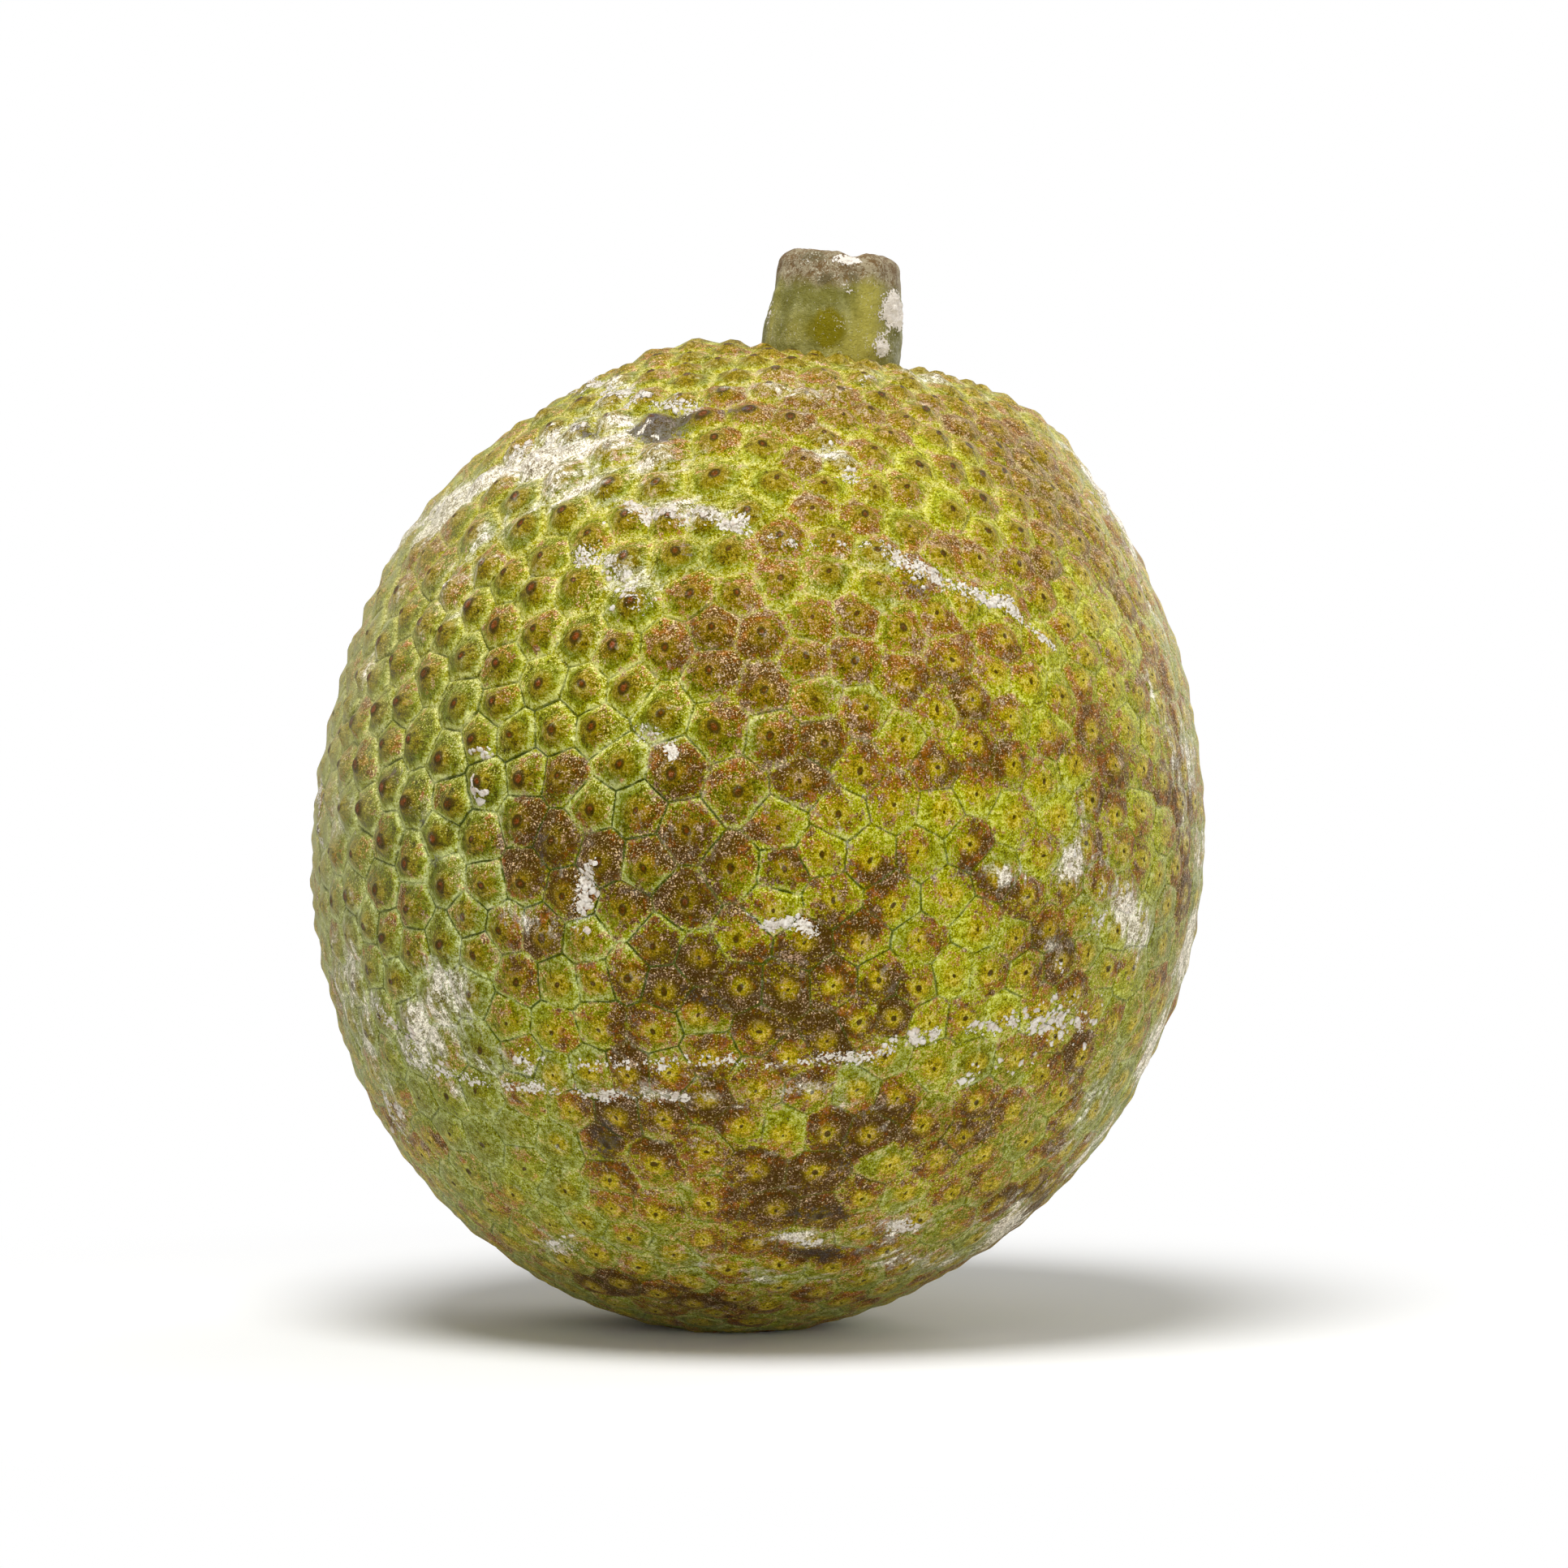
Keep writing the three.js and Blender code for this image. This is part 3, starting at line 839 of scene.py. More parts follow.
def use_group(group, **inputs):
    """Places a group in a material and gives all its outputs by name."""
    tree = inputs["place"].tree
    first = add_node(tree, "ShaderNodeGroup", {"node_tree": group}, **inputs)
    return {socket.name: Field(socket) for socket in first.socket.node.outputs}


def new_material(name, mesh, gloss, tint):
    """A material on a mesh, ready for its colours: its nodes and its shader."""
    material = bpy.data.materials.new(name)
    material.use_nodes = True
    mesh.materials.append(material)
    shader = material.node_tree.nodes["Principled BSDF"]
    shader.inputs["Specular IOR Level"].default_value = gloss
    shader.inputs["Specular Tint"].default_value = tint
    return material.node_tree, shader


def give_looks(shader, colour, rough, height_mm):
    """Joins a colour, a roughness and fine bumps to a shader."""
    tree = colour.tree
    bump = add_node(tree, "ShaderNodeBump", Strength=1.0, Distance=MM, Height=height_mm)
    for name, field in (("Base Color", colour), ("Roughness", rough), ("Normal", bump)):
        tree.links.new(field.socket, shader.inputs[name])


# Dried latex: crumbs and a thin film that breaks up at its edges. amount is how much lies there.
latex_group, (place, amount) = new_group("dried_latex", ("place", "amount"), ("cover", "colour", "height"))
lumps = cloud(place, 3.4, 3.0, 0.6)
crumbs = cloud(place, 0.50, 2.0, 0.65)
cover = (amount + 1.9 * lumps + 1.7 * crumbs).ease(2.46, 2.54)
chalk = blend(crumbs.ease(0.35, 0.65), paint("c4b6a2"), paint("efe8dc"))
add_node(latex_group, "NodeGroupOutput", cover=cover, colour=chalk, height=cover * (crumbs + 0.4))

# The grain of a weathered skin. first and second are two unlike sets of fine specks.
grain_group, (place,) = new_group("weathered_grain", ("place",), ("first", "second"))
first = cloud(place, 1.20, 3.0, 0.90).ease(0.36, 0.64)
second = cloud(place.stretched((-1, 1, -1)), 0.30, 1.0, 0.7).ease(0.26, 0.74)
add_node(grain_group, "NodeGroupOutput", first=first, second=second)

GREY_GREEN = paint("80843a")
YELLOW_GREEN = paint("b0b000")
PALE_GREEN = paint("b2b42c")
LEAF_GREEN = paint("767e00")
DEEP_GREEN = paint("5e6a00")
COOL_RIM = paint("aeb872")
WARM_RIM = paint("b6ae3c")
PALE_NET = paint("c2b870")
BLOOM_AND_SHEEN = paint("bab682")
GROOVE_GREEN = paint("3c4a10")
SAND = paint("b48030")
DARK_SAND = paint("90561e")
BROWN = paint("783412")
DARK_BROWN = paint("2e1008")
BRUISE = paint("30282a")
PALE_BRUISE = paint("524a50")
GOLDEN_BROWN = paint("8e5400")
DUST = paint("b08c6c")
GOLD = paint("8c7600")
YELLOW = paint("b49c00")
SCAR_RIM = paint("2c1608")
SCAR_HEART = paint("743206")
HAZE = paint("cfcab4")
HAZE_IN_PAINTED_SHADE = paint("bbb7a6")
FLAKE = paint("e6dccb")
FIBRE = paint("c6b07c")
GLINT = paint("d2ba70")
DARK_GRAIN_AND_PAINTED_SHADE = paint("7c5400")

tree, shader = new_material("rind", rind_mesh, 0.22, (1.0, 0.92, 0.08, 1.0))
place = place_in(tree)
rim = value_of(tree, "rim")
scar = value_of(tree, "scar")
tone = value_of(tree, "tone")
domed = value_of(tree, "relief")
brown = value_of(tree, "brown")
green = value_of(tree, "green")
bruise = value_of(tree, "bruise")
scar_kind = value_of(tree, "scar_kind")
fibrous = value_of(tree, "fibrous")
flatness = domed.ease(0.55, 0.15)
above = add_node(tree, "ShaderNodeSeparateXYZ", output="Z", i0=place).ease(0.070, 0.165)
broad = cloud(place, 14.0, 3.0, 0.6)
ragged = cloud(place, 3.2, 5.0, 0.68)
mottle = cloud(place, 6.0, 4.0, 0.72)
dusting = cloud(place.stretched((-1, 1, -1)), 2.6, 5.0, 0.80)
combed = value_of(tree, "combed", "Vector")
fibres = cloud(combed.stretched((0.9, 0.9, 1)), 1.0, 3.0, 0.7)
scuffs = cloud(combed, 1.9, 3.0, 0.6)
grain = use_group(grain_group, place=place)
lean = value_of(tree, "lean").ease(-0.35, 0.7)

# ground colour: yellow-green or grey-green, deeper inside each segment and deeper still on the lower side
# of a dome, which is painted shade; paler along its rim
colour = blend((green + 1.2 * broad + 0.5 * tone).ease(0.65, 1.65), GREY_GREEN, YELLOW_GREEN)
colour = blend((tone + 0.5 - 1.6 * mottle).ease(0.0, 0.7) * 0.65, colour, LEAF_GREEN)
colour = blend(mottle.ease(0.52, 0.64) * 0.55, colour, PALE_GREEN)
soft_rim = rim + cloud(place, 2.2, 2.0, 0.5) * (1.2 - 0.7 * domed) + 0.35 * domed
# the lower side of each dome is painted a deeper green, as shade
deeper = soft_rim.ease(1.0, 2.5) * (domed + 0.10) * (1.0 - 0.30 * lean) * (1.0 - 0.55 * above)
colour = blend(deeper, colour, DEEP_GREEN)
patchy = mottle.ease(0.38, 0.60, 0.50, 1.10)
paler = soft_rim.ease(2.1, 0.8) * (0.88 - 0.50 * flatness) * patchy.sum("MAXIMUM", flatness)
# a painted shading of each dome: lighter along its rim and darker inside
painted_dome_shading = (paler - deeper) * domed * (1.0 - 0.5 * above)
colour = blend(paler, colour, blend(above, COOL_RIM, WARM_RIM))

# a golden ring round the scar of the stigma
scar_size = (0.65 + 0.7 * scar_kind) * (0.24 + 0.58 * domed) * (1.05 - 0.20 * above) + 0.35 * bruise
from_scar = (value_of(tree, "slit") + 0.6 * ragged - 0.12) / scar_size
ring = (scar + 2.4 * ragged - 0.7 * domed).ease(4.0, 2.1)
ring *= 0.20 + 0.60 * dusting.ease(0.62, 0.40) + 0.24 * above
ring *= brown.ease(-0.36, 0.0, 0.15, 1.0)
ring_kind = blend(flatness, GOLD, YELLOW)
colour = blend(ring, colour, ring_kind)

# Weathering, in specks that close up into patches. They are denser on the upper side of the domes;
# on flat segments they keep off the middle and run across the grooves.
near_rim = (rim + 1.5 * ragged).ease(2.1, 0.8)
middle_zone = (scar + 3.0 * ragged).ease(3.9, 2.0)
outer_ring = scar.ease(2.9, 2.2) * scar.ease(1.2, 1.8)
fibre_share = fibrous * fibres.ease(0.36, 0.64, -1.0, 1.0)
darkness = 2.3 * ragged + 0.84 * brown + 0.80 * tone + 0.12 * above + 0.32 * fibre_share - 1.89
darkness += 0.90 * dusting + 1.40 * mottle
browned = darkness.sum("MINIMUM", 1.80)
browned += lean * (0.46 - 0.12 * domed)
browned += outer_ring * (0.04 + 0.16 * flatness)
browned += middle_zone * (-0.30 * flatness - 0.06 - 0.50 * scar_kind)
browned += near_rim * (0.18 * flatness - 0.20)
specked = browned + 0.74 * grain["first"]
sand_cover = (specked - 0.20 * green - 0.34 * domed).ease(1.22, 1.92)
sand_kind = blend(grain["second"].ease(0.35, 0.65), DARK_SAND, SAND)
colour = blend(sand_cover * 0.70, colour, sand_kind)
brown_cover = specked.ease(1.62, 2.12)
kind = darkness + 4.5 * dusting - 0.5 * middle_zone + 0.5 * grain["second"] - 0.45 * above
brown_kind = blend(kind.ease(3.05, 3.65), GOLDEN_BROWN, BROWN)
brown_kind = blend(kind.ease(3.50, 4.05), brown_kind, DARK_BROWN)
colour = blend(brown_cover * (0.92 - 0.14 * above), colour, brown_kind)
colour = blend(ring * 0.92, colour, ring_kind)
dusty = (dusting + 0.22 * grain["second"] + 0.08 * above).ease(0.64, 0.82)
colour = blend(dusty * (brown_cover + sand_cover) * 0.28, colour, DUST)
colour = blend(fibrous * fibres.ease(0.47, 0.36) * 0.42, colour, FIBRE)

# a pale net along the segments' edges, the groove line and the scar
net = (rim + 0.60 * ragged).ease(0.90, 0.44) * (0.06 + 0.26 * above) * patchy
colour = blend(net, colour, PALE_NET)
line = (rim + 0.30 * ragged).ease(0.46, 0.22) * (0.10 + 0.75 * mottle.ease(0.62, 0.42))
line *= value_of(tree, "crease") * (1.12 - 0.6 * above)
colour = blend(line, colour, GROOVE_GREEN)
colour = blend(from_scar.ease(2.3, 1.5) * 0.92, colour, SCAR_RIM)
colour = blend(from_scar.ease(1.3, 0.7) * domed, colour, SCAR_HEART)

# glints where the weathered skin catches the light
bright = grain["second"] + 0.16 * lean * domed
bright += 0.05 * browned.ease(0.8, 1.6) + 0.06 * scar.ease(1.0, 3.0)
glinting = bright.ease(0.99, 1.14)
colour = blend(glinting * 0.30, colour, GLINT)

# bruises, and a greyish bloom rubbed sideways, painted greyer and with fewer white flakes low down, as
# shade
hazed = value_of(tree, "haze") + 2.2 * scuffs + 1.2 * dusting
film = 0.42 * hazed.ease(1.75, 2.75) + 0.22 * hazed.ease(2.26, 2.36)
colour = blend(film, colour, blend(above, HAZE_IN_PAINTED_SHADE, HAZE))
bruised = (bruise + 1.3 * scuffs + 0.4 * grain["first"]).ease(1.25, 1.7) * 0.85
colour = blend(bruised, colour, blend(above, BRUISE, PALE_BRUISE))
# fewer white flakes low down: painted shade
flaked = (hazed + 0.22 * grain["first"]).ease(2.62, 2.72) * (0.65 + 0.2 * above)
colour = blend(flaked, colour, FLAKE)

# the grain, the painted glints and a painted shading of the domes lighten and darken all this; a bloom
# with a painted sheen along the left edge, and latex, lie on top of it
grain_and_painted_light = 0.88 * grain["first"] + 0.78 * grain["second"] + 1.16 * dusting + 0.66 * glinting - 0.37
grain_and_painted_light += 1.2 * (ragged - 0.5) * (domed + 0.15) + 0.30 * painted_dome_shading
colour = blend(grain_and_painted_light.ease(0.95, 0.35, 0.0, 0.32), colour, DARK_GRAIN_AND_PAINTED_SHADE)
richness = grain_and_painted_light.ease(0.45, 1.45, 1.50, 0.86)
colour = add_node(tree, "ShaderNodeHueSaturation", Value=grain_and_painted_light, Saturation=richness, Color=colour)
# a bloom along the left edge, with a painted sheen, kept off the scars
bloom_and_sheen_share = value_of(tree, "bloom_and_sheen") * ragged.ease(0.64, 0.44, 0.28, 0.74)
colour = blend(bloom_and_sheen_share * from_scar.ease(1.0, 2.6, 0.15, 1.0), colour, BLOOM_AND_SHEEN)
latex = use_group(latex_group, place=place, amount=value_of(tree, "latex"))
colour = blend(latex["cover"], colour, latex["colour"])
rough = 0.40 + 0.14 * brown_cover + 0.14 * grain["first"] + 0.35 * latex["cover"]
height = 0.14 * grain["first"] + 0.40 * ragged - 0.12 * line + 0.30 * latex["height"]
give_looks(shader, colour, rough.sum("MINIMUM", 1.0), height)


# ---------------------------------------------------------------- the dried latex
# Beads and flakes of white sap that ran out over the rind where it was scuffed and picked, and
# dried hard. Each is a small lumpy cake sunk a little into the skin. Lengths in millimetres.
SMALLEST_CRUMB = 0.22
CRUMB_GROWTH = 0.155
HEAP_GROWTH = 0.60
THICKNESS = 0.28
CRUMBS_PER_MM = 7.0
BARE_STRENGTH = 0.35
SIDE_SCATTER = 0.36
CLUSTERS = 28.0
CLUSTER_EDGE = -0.06
FAR_OUTSIDE = 110.0
LOWEST_CRUMB = 1.0
# across, up, half width, half height, number
CRUMB_HEAPS = [
    (-50, 104, 1.3, 1.5, 18), (-50.5, 97, 1.5, 1.7, 20), (-31.5, 78, 1.9, 4.8, 36),
    (-30, 84, 1.4, 1.2, 6), (5, 73, 4.4, 0.9, 20), (-16, 147, 3.2, 1.2, 12),
    (-4, 146, 3.0, 1.2, 10), (29, 136.5, 4.0, 1.6, 16), (41, 132, 3.2, 1.2, 12),
    (27, 18, 2.2, 1.3, 10), (-36, 15, 2.6, 1.0, 9), (-66, 39, 1.4, 2.8, 18),
    (-63, 52, 1.6, 2.4, 14), (-58, 47, 1.8, 1.4, 7), (-25, 134, 1.8, 2.6, 12),
    (54, 55.5, 8.0, 4.4, 92), (42, 54, 4.0, 1.4, 18), (28, 51.5, 4.6, 1.4, 20),
    (-43, 49, 1.6, 1.6, 7), (-30, 41.5, 3.4, 0.9, 12), (-15, 41.5, 3.4, 0.9, 12),
    (37, 44.5, 1.8, 0.9, 6), (66, 78, 1.6, 3.6, 10), (9, 15, 2.6, 1.2, 8), (45, 47, 7.0, 2.6, 12),
    (-24, 168, 4.4, 1.0, 12), (-42, 158, 4.0, 1.6, 12), (62, 150, 1.6, 3.4, 10),
    (17, 155, 1.6, 1.0, 5),
]

skin_tree = BVHTree.FromPolygons([tuple(point) for point in points], faces)
ball = bmesh.new()
bmesh.ops.create_icosphere(ball, subdivisions=2, radius=1.0)
ball_points = np.array([tuple(vertex.co) for vertex in ball.verts])
ball_faces = np.array([[vertex.index for vertex in face.verts] for face in ball.faces])
ball.free()
crumb_points = []
crumb_faces = []


def add_crumb(towards, size):
    """One lumpy cake of latex on the skin in that direction from the fruit's middle."""
    outside = Vector(fruit_middle + towards * FAR_OUTSIDE)
    at, normal, _, _ = skin_tree.ray_cast(outside, Vector(-towards))
    if at is None or at.z < LOWEST_CRUMB:
        return
    first_way = normal.orthogonal().normalized()
    second_way = normal.cross(first_way)
    turn = draw.uniform(0.0, math.pi)
    long_way = first_way * math.cos(turn) + second_way * math.sin(turn)
    short_way = normal.cross(long_way)
    seed = Vector(draw.uniform(-40.0, 40.0, 3))
    stretch = draw.uniform(0.55, 1.0)
    thick = size * THICKNESS * draw.uniform(0.7, 1.3)
    crumb_faces.append(ball_faces + len(ball_points) * len(crumb_points))
    cake = []
    for x, y, z in ball_points:
        lump = 1.0 + 0.75 * noise.noise(Vector((x, y, z)) * 1.7 + seed)
        flat_top = math.copysign(abs(z) ** 0.7, z)
        spot = at + long_way * (x * size * lump) + short_way * (y * size * stretch * lump)
        cake.append(tuple(spot + normal * (flat_top * thick * lump)))
    crumb_points.append(cake)


# along each run many small crumbs and a few large, in clusters
for route, width, strength in latex_runs:
    for start, end in zip(route, route[1:]):
        length = np.linalg.norm(end - start) * MEAN_RADIUS
        for _ in range(int(length * CRUMBS_PER_MM * max(0.0, strength - BARE_STRENGTH))):
            along = start + (end - start) * draw.uniform(0.0, 1.0)
            spot = unit(along + draw.normal(0.0, SIDE_SCATTER * width / MEAN_RADIUS, 3))
            size = SMALLEST_CRUMB + CRUMB_GROWTH * width * draw.uniform(0.0, 1.0) ** 3
            if noise.noise(Vector(spot * CLUSTERS)) > CLUSTER_EDGE:
                add_crumb(spot, size)
for across, up, half_across, half_up, number in CRUMB_HEAPS:
    for _ in range(number):
        at_across = across + draw.normal(0.0, 0.5) * half_across
        at_up = up + draw.normal(0.0, 0.5) * half_up
        size = SMALLEST_CRUMB + HEAP_GROWTH * draw.uniform(0.0, 1.0) ** 2.0
        add_crumb(from_front(at_across, at_up), size)

latex_mesh = bpy.data.meshes.new("dried_latex")
latex_mesh.from_pydata(np.vstack(crumb_points) * MM, [], np.vstack(crumb_faces).tolist())
latex_mesh.shade_smooth()
dried_latex = put_in_scene("dried_latex", latex_mesh)
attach(dried_latex, "root")

tree, shader = new_material("dried_latex", latex_mesh, 0.3, WHITE)
place = place_in(tree)
grain = use_group(grain_group, place=place)
stained = cloud(place, 1.6, 4.0, 0.6).ease(0.40, 0.64)
colour = blend(stained, paint("e8e0d2"), paint("cbb9a6"))
colour = blend(grain["first"] * 0.35, colour, paint("f3eee4"))
give_looks(shader, colour, 0.55 + 0.2 * grain["second"], 0.16 * grain["first"])


# ---------------------------------------------------------------- the stem
# A short length of the fruit's green stalk, stout and faintly ribbed, cut when the fruit was
# picked. The cut end has dried grey-brown with a rounded lip, and latex has crusted down one
# side. Lengths in this section are in millimetres.
STEM_CUT_RADIUS = 11.0
STEM_FOOT_RADIUS = 12.9
STEM_FOOT_DEPTH = 9.0
STEM_STANDING_LENGTH = 20.8
STEM_LENGTH = STEM_FOOT_DEPTH + STEM_STANDING_LENGTH
STEM_LEAN = math.radians(6.0)
STEM_CUT_ROUNDING = 3.2
STEM_CUT_DISH = 1.1
STEM_SIDES = 112
STEM_ROWS = 52
LIP_ROWS = 10
FACE_ROWS = 14
LIP_LENGTH = 5.0
RIBS = 11
RIB_HEIGHT = 0.13
NOTCH_HEADING = 287
NOTCH_WIDTH = 13.0
NOTCH_DEPTH = 0.9
# height above the foot, radius
STEM_PROFILE = [
    (0.0, STEM_FOOT_RADIUS),
    (STEM_FOOT_DEPTH, STEM_FOOT_RADIUS),
    (17.7, 11.95),
    (STEM_LENGTH - STEM_CUT_ROUNDING, STEM_CUT_RADIUS),
]
# heading in degrees, mm below the cut end, half width and half height in mm, strength
# The mark at heading 196 is a painted highlight down the stalk's left edge, drawn as latex.
STEM_LATEX_AND_SHEEN = [
    (326, 8.6, 3.4, 3.2, 1.1), (346, 10.5, 4.0, 3.8, 1.2), (314, 16.5, 3.0, 2.4, 1.1),
    (286, 0.9, 2.8, 1.2, 0.95), (272, 1.5, 2.6, 1.0, 0.6), (278, 7.0, 2.6, 1.6, 0.64),
    (262, 9.6, 3.0, 1.0, 0.45), (196, 13.0, 1.6, 4.5, 0.6), (238, 2.6, 3.4, 1.0, 0.5),
    (120, 6.0, 3.0, 3.0, 0.7), (60, 11.0, 3.0, 4.0, 0.8), (88, 2.0, 2.4, 1.2, 0.6),
]
STEM_FRESH = [
    (266, 14.2, 2.4, 3.4, 2.0), (301, 5.5, 2.4, 3.0, 0.4), (238, 15.0, 3.4, 3.0, 0.45),
    (140, 14.0, 4.0, 5.0, 0.8), (40, 15.0, 4.0, 4.0, 0.7),
]
STEM_DARK = [
    (258, 5.5, 2.0, 1.4, 0.9), (240, 1.5, 4.0, 1.4, 0.8), (283, 4.5, 1.8, 1.8, 0.6),
    (180, 4.0, 2.0, 1.2, 0.7), (100, 8.0, 1.6, 1.4, 0.8), (325, 11.5, 1.2, 1.0, 0.8),
]
# The mark at heading 204 is a painted highlight down the stalk's left edge.
STEM_LIME_AND_SHEEN = [
    (303, 10.0, 3.4, 8.0, 1.1), (290, 18.0, 5.0, 4.0, 0.8), (238, 15.0, 3.0, 4.0, 0.4),
    (130, 12.0, 6.0, 6.0, 0.8), (30, 9.0, 4.0, 6.0, 0.7), (204, 13.0, 1.8, 14.0, 0.45),
]


def turned_from(headings, heading):
    """Degrees from one heading to each of the others, from -180 to 180."""
    return (headings - heading + 180.0) % 360.0 - 180.0


def around_stem(marks, headings, below):
    """How strongly the marks cover the places at those headings and depths below the cut."""
    total = np.zeros_like(headings)
    for at_heading, at_below, half_across, half_up, strength in marks:
        turn = np.radians(turned_from(headings, at_heading)) * STEM_CUT_RADIUS
        total += strength * np.exp(-((turn / half_across) ** 2) - ((below - at_below) / half_up) ** 2)
    return total


# rows of vertices from the foot up, over the lip and in to the middle of the cut: radius, height
stem_rows = []
for row in range(STEM_ROWS):
    height = (STEM_LENGTH - STEM_CUT_ROUNDING) * row / (STEM_ROWS - 1)
    stem_rows.append((np.interp(height, *zip(*STEM_PROFILE)), height))
for row in range(1, LIP_ROWS + 1):
    turn = math.pi / 2 * row / LIP_ROWS
    across = STEM_CUT_RADIUS - STEM_CUT_ROUNDING * (1 - math.cos(turn))
    stem_rows.append((across, STEM_LENGTH - STEM_CUT_ROUNDING * (1 - math.sin(turn))))
face_edge = STEM_CUT_RADIUS - STEM_CUT_ROUNDING
for row in range(1, FACE_ROWS):
    share = 1.0 - row / FACE_ROWS
    stem_rows.append((face_edge * share, STEM_LENGTH - STEM_CUT_DISH * (1.0 - share ** 2.2)))

headings = np.arange(STEM_SIDES) * 360.0 / STEM_SIDES
stem_points = []
stem_values = []
for across, height in stem_rows:
    share = min(1.0, across / face_edge)
    below = STEM_LENGTH - height
    lip = max(0.0, 1.0 - below / LIP_LENGTH) * share
    notch = np.exp(-((turned_from(headings, NOTCH_HEADING) / NOTCH_WIDTH) ** 2)) * lip * NOTCH_DEPTH
    crust = np.clip(around_stem(STEM_LATEX_AND_SHEEN, headings, below), 0.0, 1.0)
    for k, turn in enumerate(np.radians(headings)):
        x, y = math.cos(turn), math.sin(turn)
        spot = Vector((x * across, y * across, height))
        swell = 0.45 * noise.noise(spot * 0.16) + 0.16 * noise.noise(spot * 0.6)
        swell += RIB_HEIGHT * math.sin(RIBS * turn + 1.3 * noise.noise(spot * 0.12)) * share
        swell += crust[k] * (0.30 + 0.70 * max(0.0, noise.noise(spot * 1.1) + 0.3))
        shrunk = 0.25 * lip * (0.5 + noise.noise(spot * 0.5 + Vector((7, 0, 0))))
        wide = across * (1.0 + (swell - shrunk) / max(across, 4.0))
        drop = notch[k] + 0.5 * lip * (noise.noise(Vector((x, y, 3.0)) * 1.2) + 0.2)
        drop += 0.16 * noise.noise(Vector((spot.x, spot.y, 0.0)) * 0.9) * (below < 1.5)
        stem_points.append((x * wide, y * wide, height - drop))
        stem_values.append((headings[k], below, across))
stem_points.append((0.0, 0.0, STEM_LENGTH - STEM_CUT_DISH))
stem_values.append((0.0, STEM_CUT_DISH, 0.0))

# the upright stalk is leant over and set down into the hollow at the stem end
x, y, z = np.array(stem_points).T
leaned_x = x * math.cos(STEM_LEAN) + z * math.sin(STEM_LEAN)
leaned_z = z * math.cos(STEM_LEAN) - x * math.sin(STEM_LEAN)
foot_reach = skin_radius(towards_stem[None, :])[0] - STEM_FOOT_DEPTH
leaned = np.column_stack((leaned_x, y, leaned_z)) + (towards_stem * foot_reach + fruit_middle)

stem_faces = [tuple(range(STEM_SIDES))[::-1]]
top_row = (len(stem_rows) - 1) * STEM_SIDES
for here in range(0, top_row, STEM_SIDES):
    above = here + STEM_SIDES
    for k in range(STEM_SIDES):
        following = (k + 1) % STEM_SIDES
        stem_faces.append((here + k, here + following, above + following, above + k))
for k in range(STEM_SIDES):
    stem_faces.append((top_row + k, top_row + (k + 1) % STEM_SIDES, len(leaned) - 1))

stem_mesh = bpy.data.meshes.new("stem_stalk")
stem_mesh.from_pydata(leaned * MM, [], stem_faces)
stem_mesh.shade_smooth()
headings, below, across = np.array(stem_values).T
store(stem_mesh, "latex", around_stem(STEM_LATEX_AND_SHEEN, headings, below))
store(stem_mesh, "fresh", around_stem(STEM_FRESH, headings, below))
store(stem_mesh, "lime_and_sheen", around_stem(STEM_LIME_AND_SHEEN, headings, below))
store(stem_mesh, "dark", around_stem(STEM_DARK, headings, below))
store(stem_mesh, "below", below)
store(stem_mesh, "across", across)
stalk = put_in_scene("stem_stalk", stem_mesh)
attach(stalk, "root")
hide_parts("stem")

OLIVE_GREY = paint("6c682c")
STALK_PALE = paint("8c8a58")
STALK_FRESH = paint("706600")
STALK_LIME_AND_SHEEN = paint("a69c46")
DRY_GREY = paint("684a34")
DRY_PALE = paint("a2947c")
STALK_DARK = paint("40340e")
CHAFF = paint("cfc8b0")
PITH = paint("9c8058")
PITH_DARK = paint("5a4128")
WHITE_CRUST = paint("faefe2")

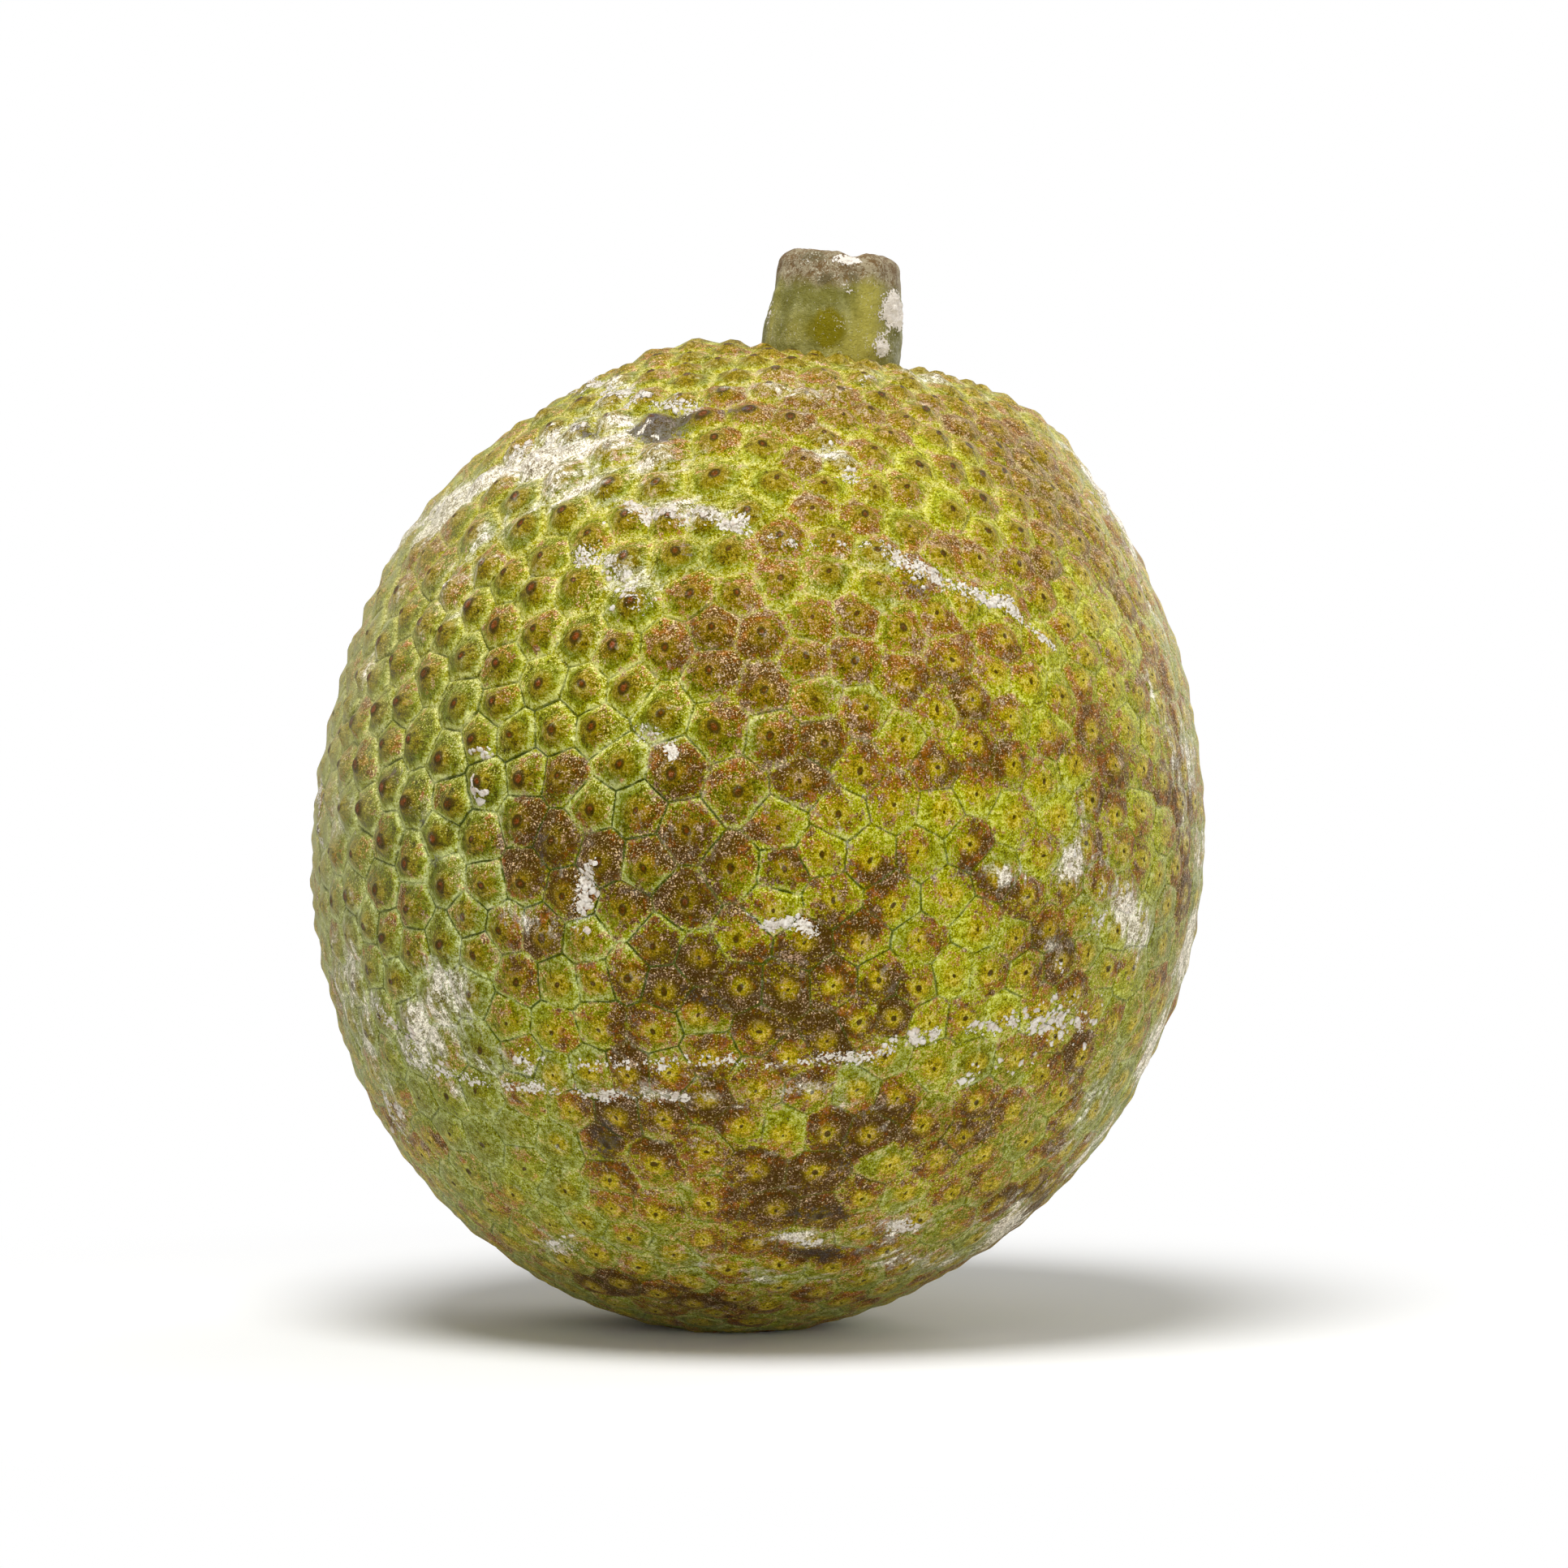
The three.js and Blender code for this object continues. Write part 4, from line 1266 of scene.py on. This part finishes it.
tree, shader = new_material("stalk", stem_mesh, 0.22, (1.0, 0.94, 0.40, 1.0))
place = place_in(tree)
fibres = cloud(place.stretched((1.0, 1.0, 0.16)), 1.0, 4.0, 0.65)
blotches = cloud(place, 4.0, 5.0, 0.65)
grain = use_group(grain_group, place=place)
lime_and_sheen = value_of(tree, "lime_and_sheen")
colour = blend(blotches.ease(0.38, 0.66), OLIVE_GREY, STALK_PALE)
# lime-green patches, and a painted highlight down the left edge
lime_and_sheen_share = (lime_and_sheen + 1.2 * blotches + 0.5 * fibres).ease(0.80, 1.90)
colour = blend(lime_and_sheen_share * 0.9, colour, STALK_LIME_AND_SHEEN)
fresh = (value_of(tree, "fresh") + 0.9 * fibres + 0.5 * blotches).ease(0.95, 1.65)
colour = blend(fresh, colour, STALK_FRESH)
dried = (value_of(tree, "below") - 7.0 * blotches + 3.0 * lime_and_sheen).ease(5.0, 0.7)
dry_kind = blend((blotches + 0.45 * grain["first"]).ease(0.55, 0.95), DRY_GREY, DRY_PALE)
colour = blend(dried * 0.85, colour, dry_kind)
darkened = (value_of(tree, "dark") + 0.5 * grain["first"] + 0.6 * blotches).ease(0.80, 1.40)
colour = blend(darkened * 0.75, colour, STALK_DARK)
chaff = cloud(place, 0.9, 3.0, 0.8) + 0.30 * grain["second"] + 0.04 * dried + 0.30 * blotches
colour = blend(chaff.ease(0.97, 1.05) * 0.66, colour, CHAFF)
pits = (cloud(place, 1.4, 3.0, 0.8) + 0.10 * grain["first"]).ease(0.40, 0.32)
colour = blend(pits * 0.5, colour, STALK_DARK)
pith = blend(grain["first"].ease(0.3, 0.75), PITH_DARK, PITH)
colour = blend(value_of(tree, "across").ease(9.2, 7.2), colour, pith)
# crusted latex, and a painted highlight down the left edge
latex = use_group(latex_group, place=place, amount=value_of(tree, "latex"))
colour = blend(latex["cover"], colour, blend(0.70, latex["colour"], WHITE_CRUST))
rough = 0.50 + 0.20 * dried + 0.15 * grain["first"]
height = 0.30 * fibres + 0.12 * grain["first"] + 0.35 * latex["height"]
give_looks(shader, colour, rough, height)
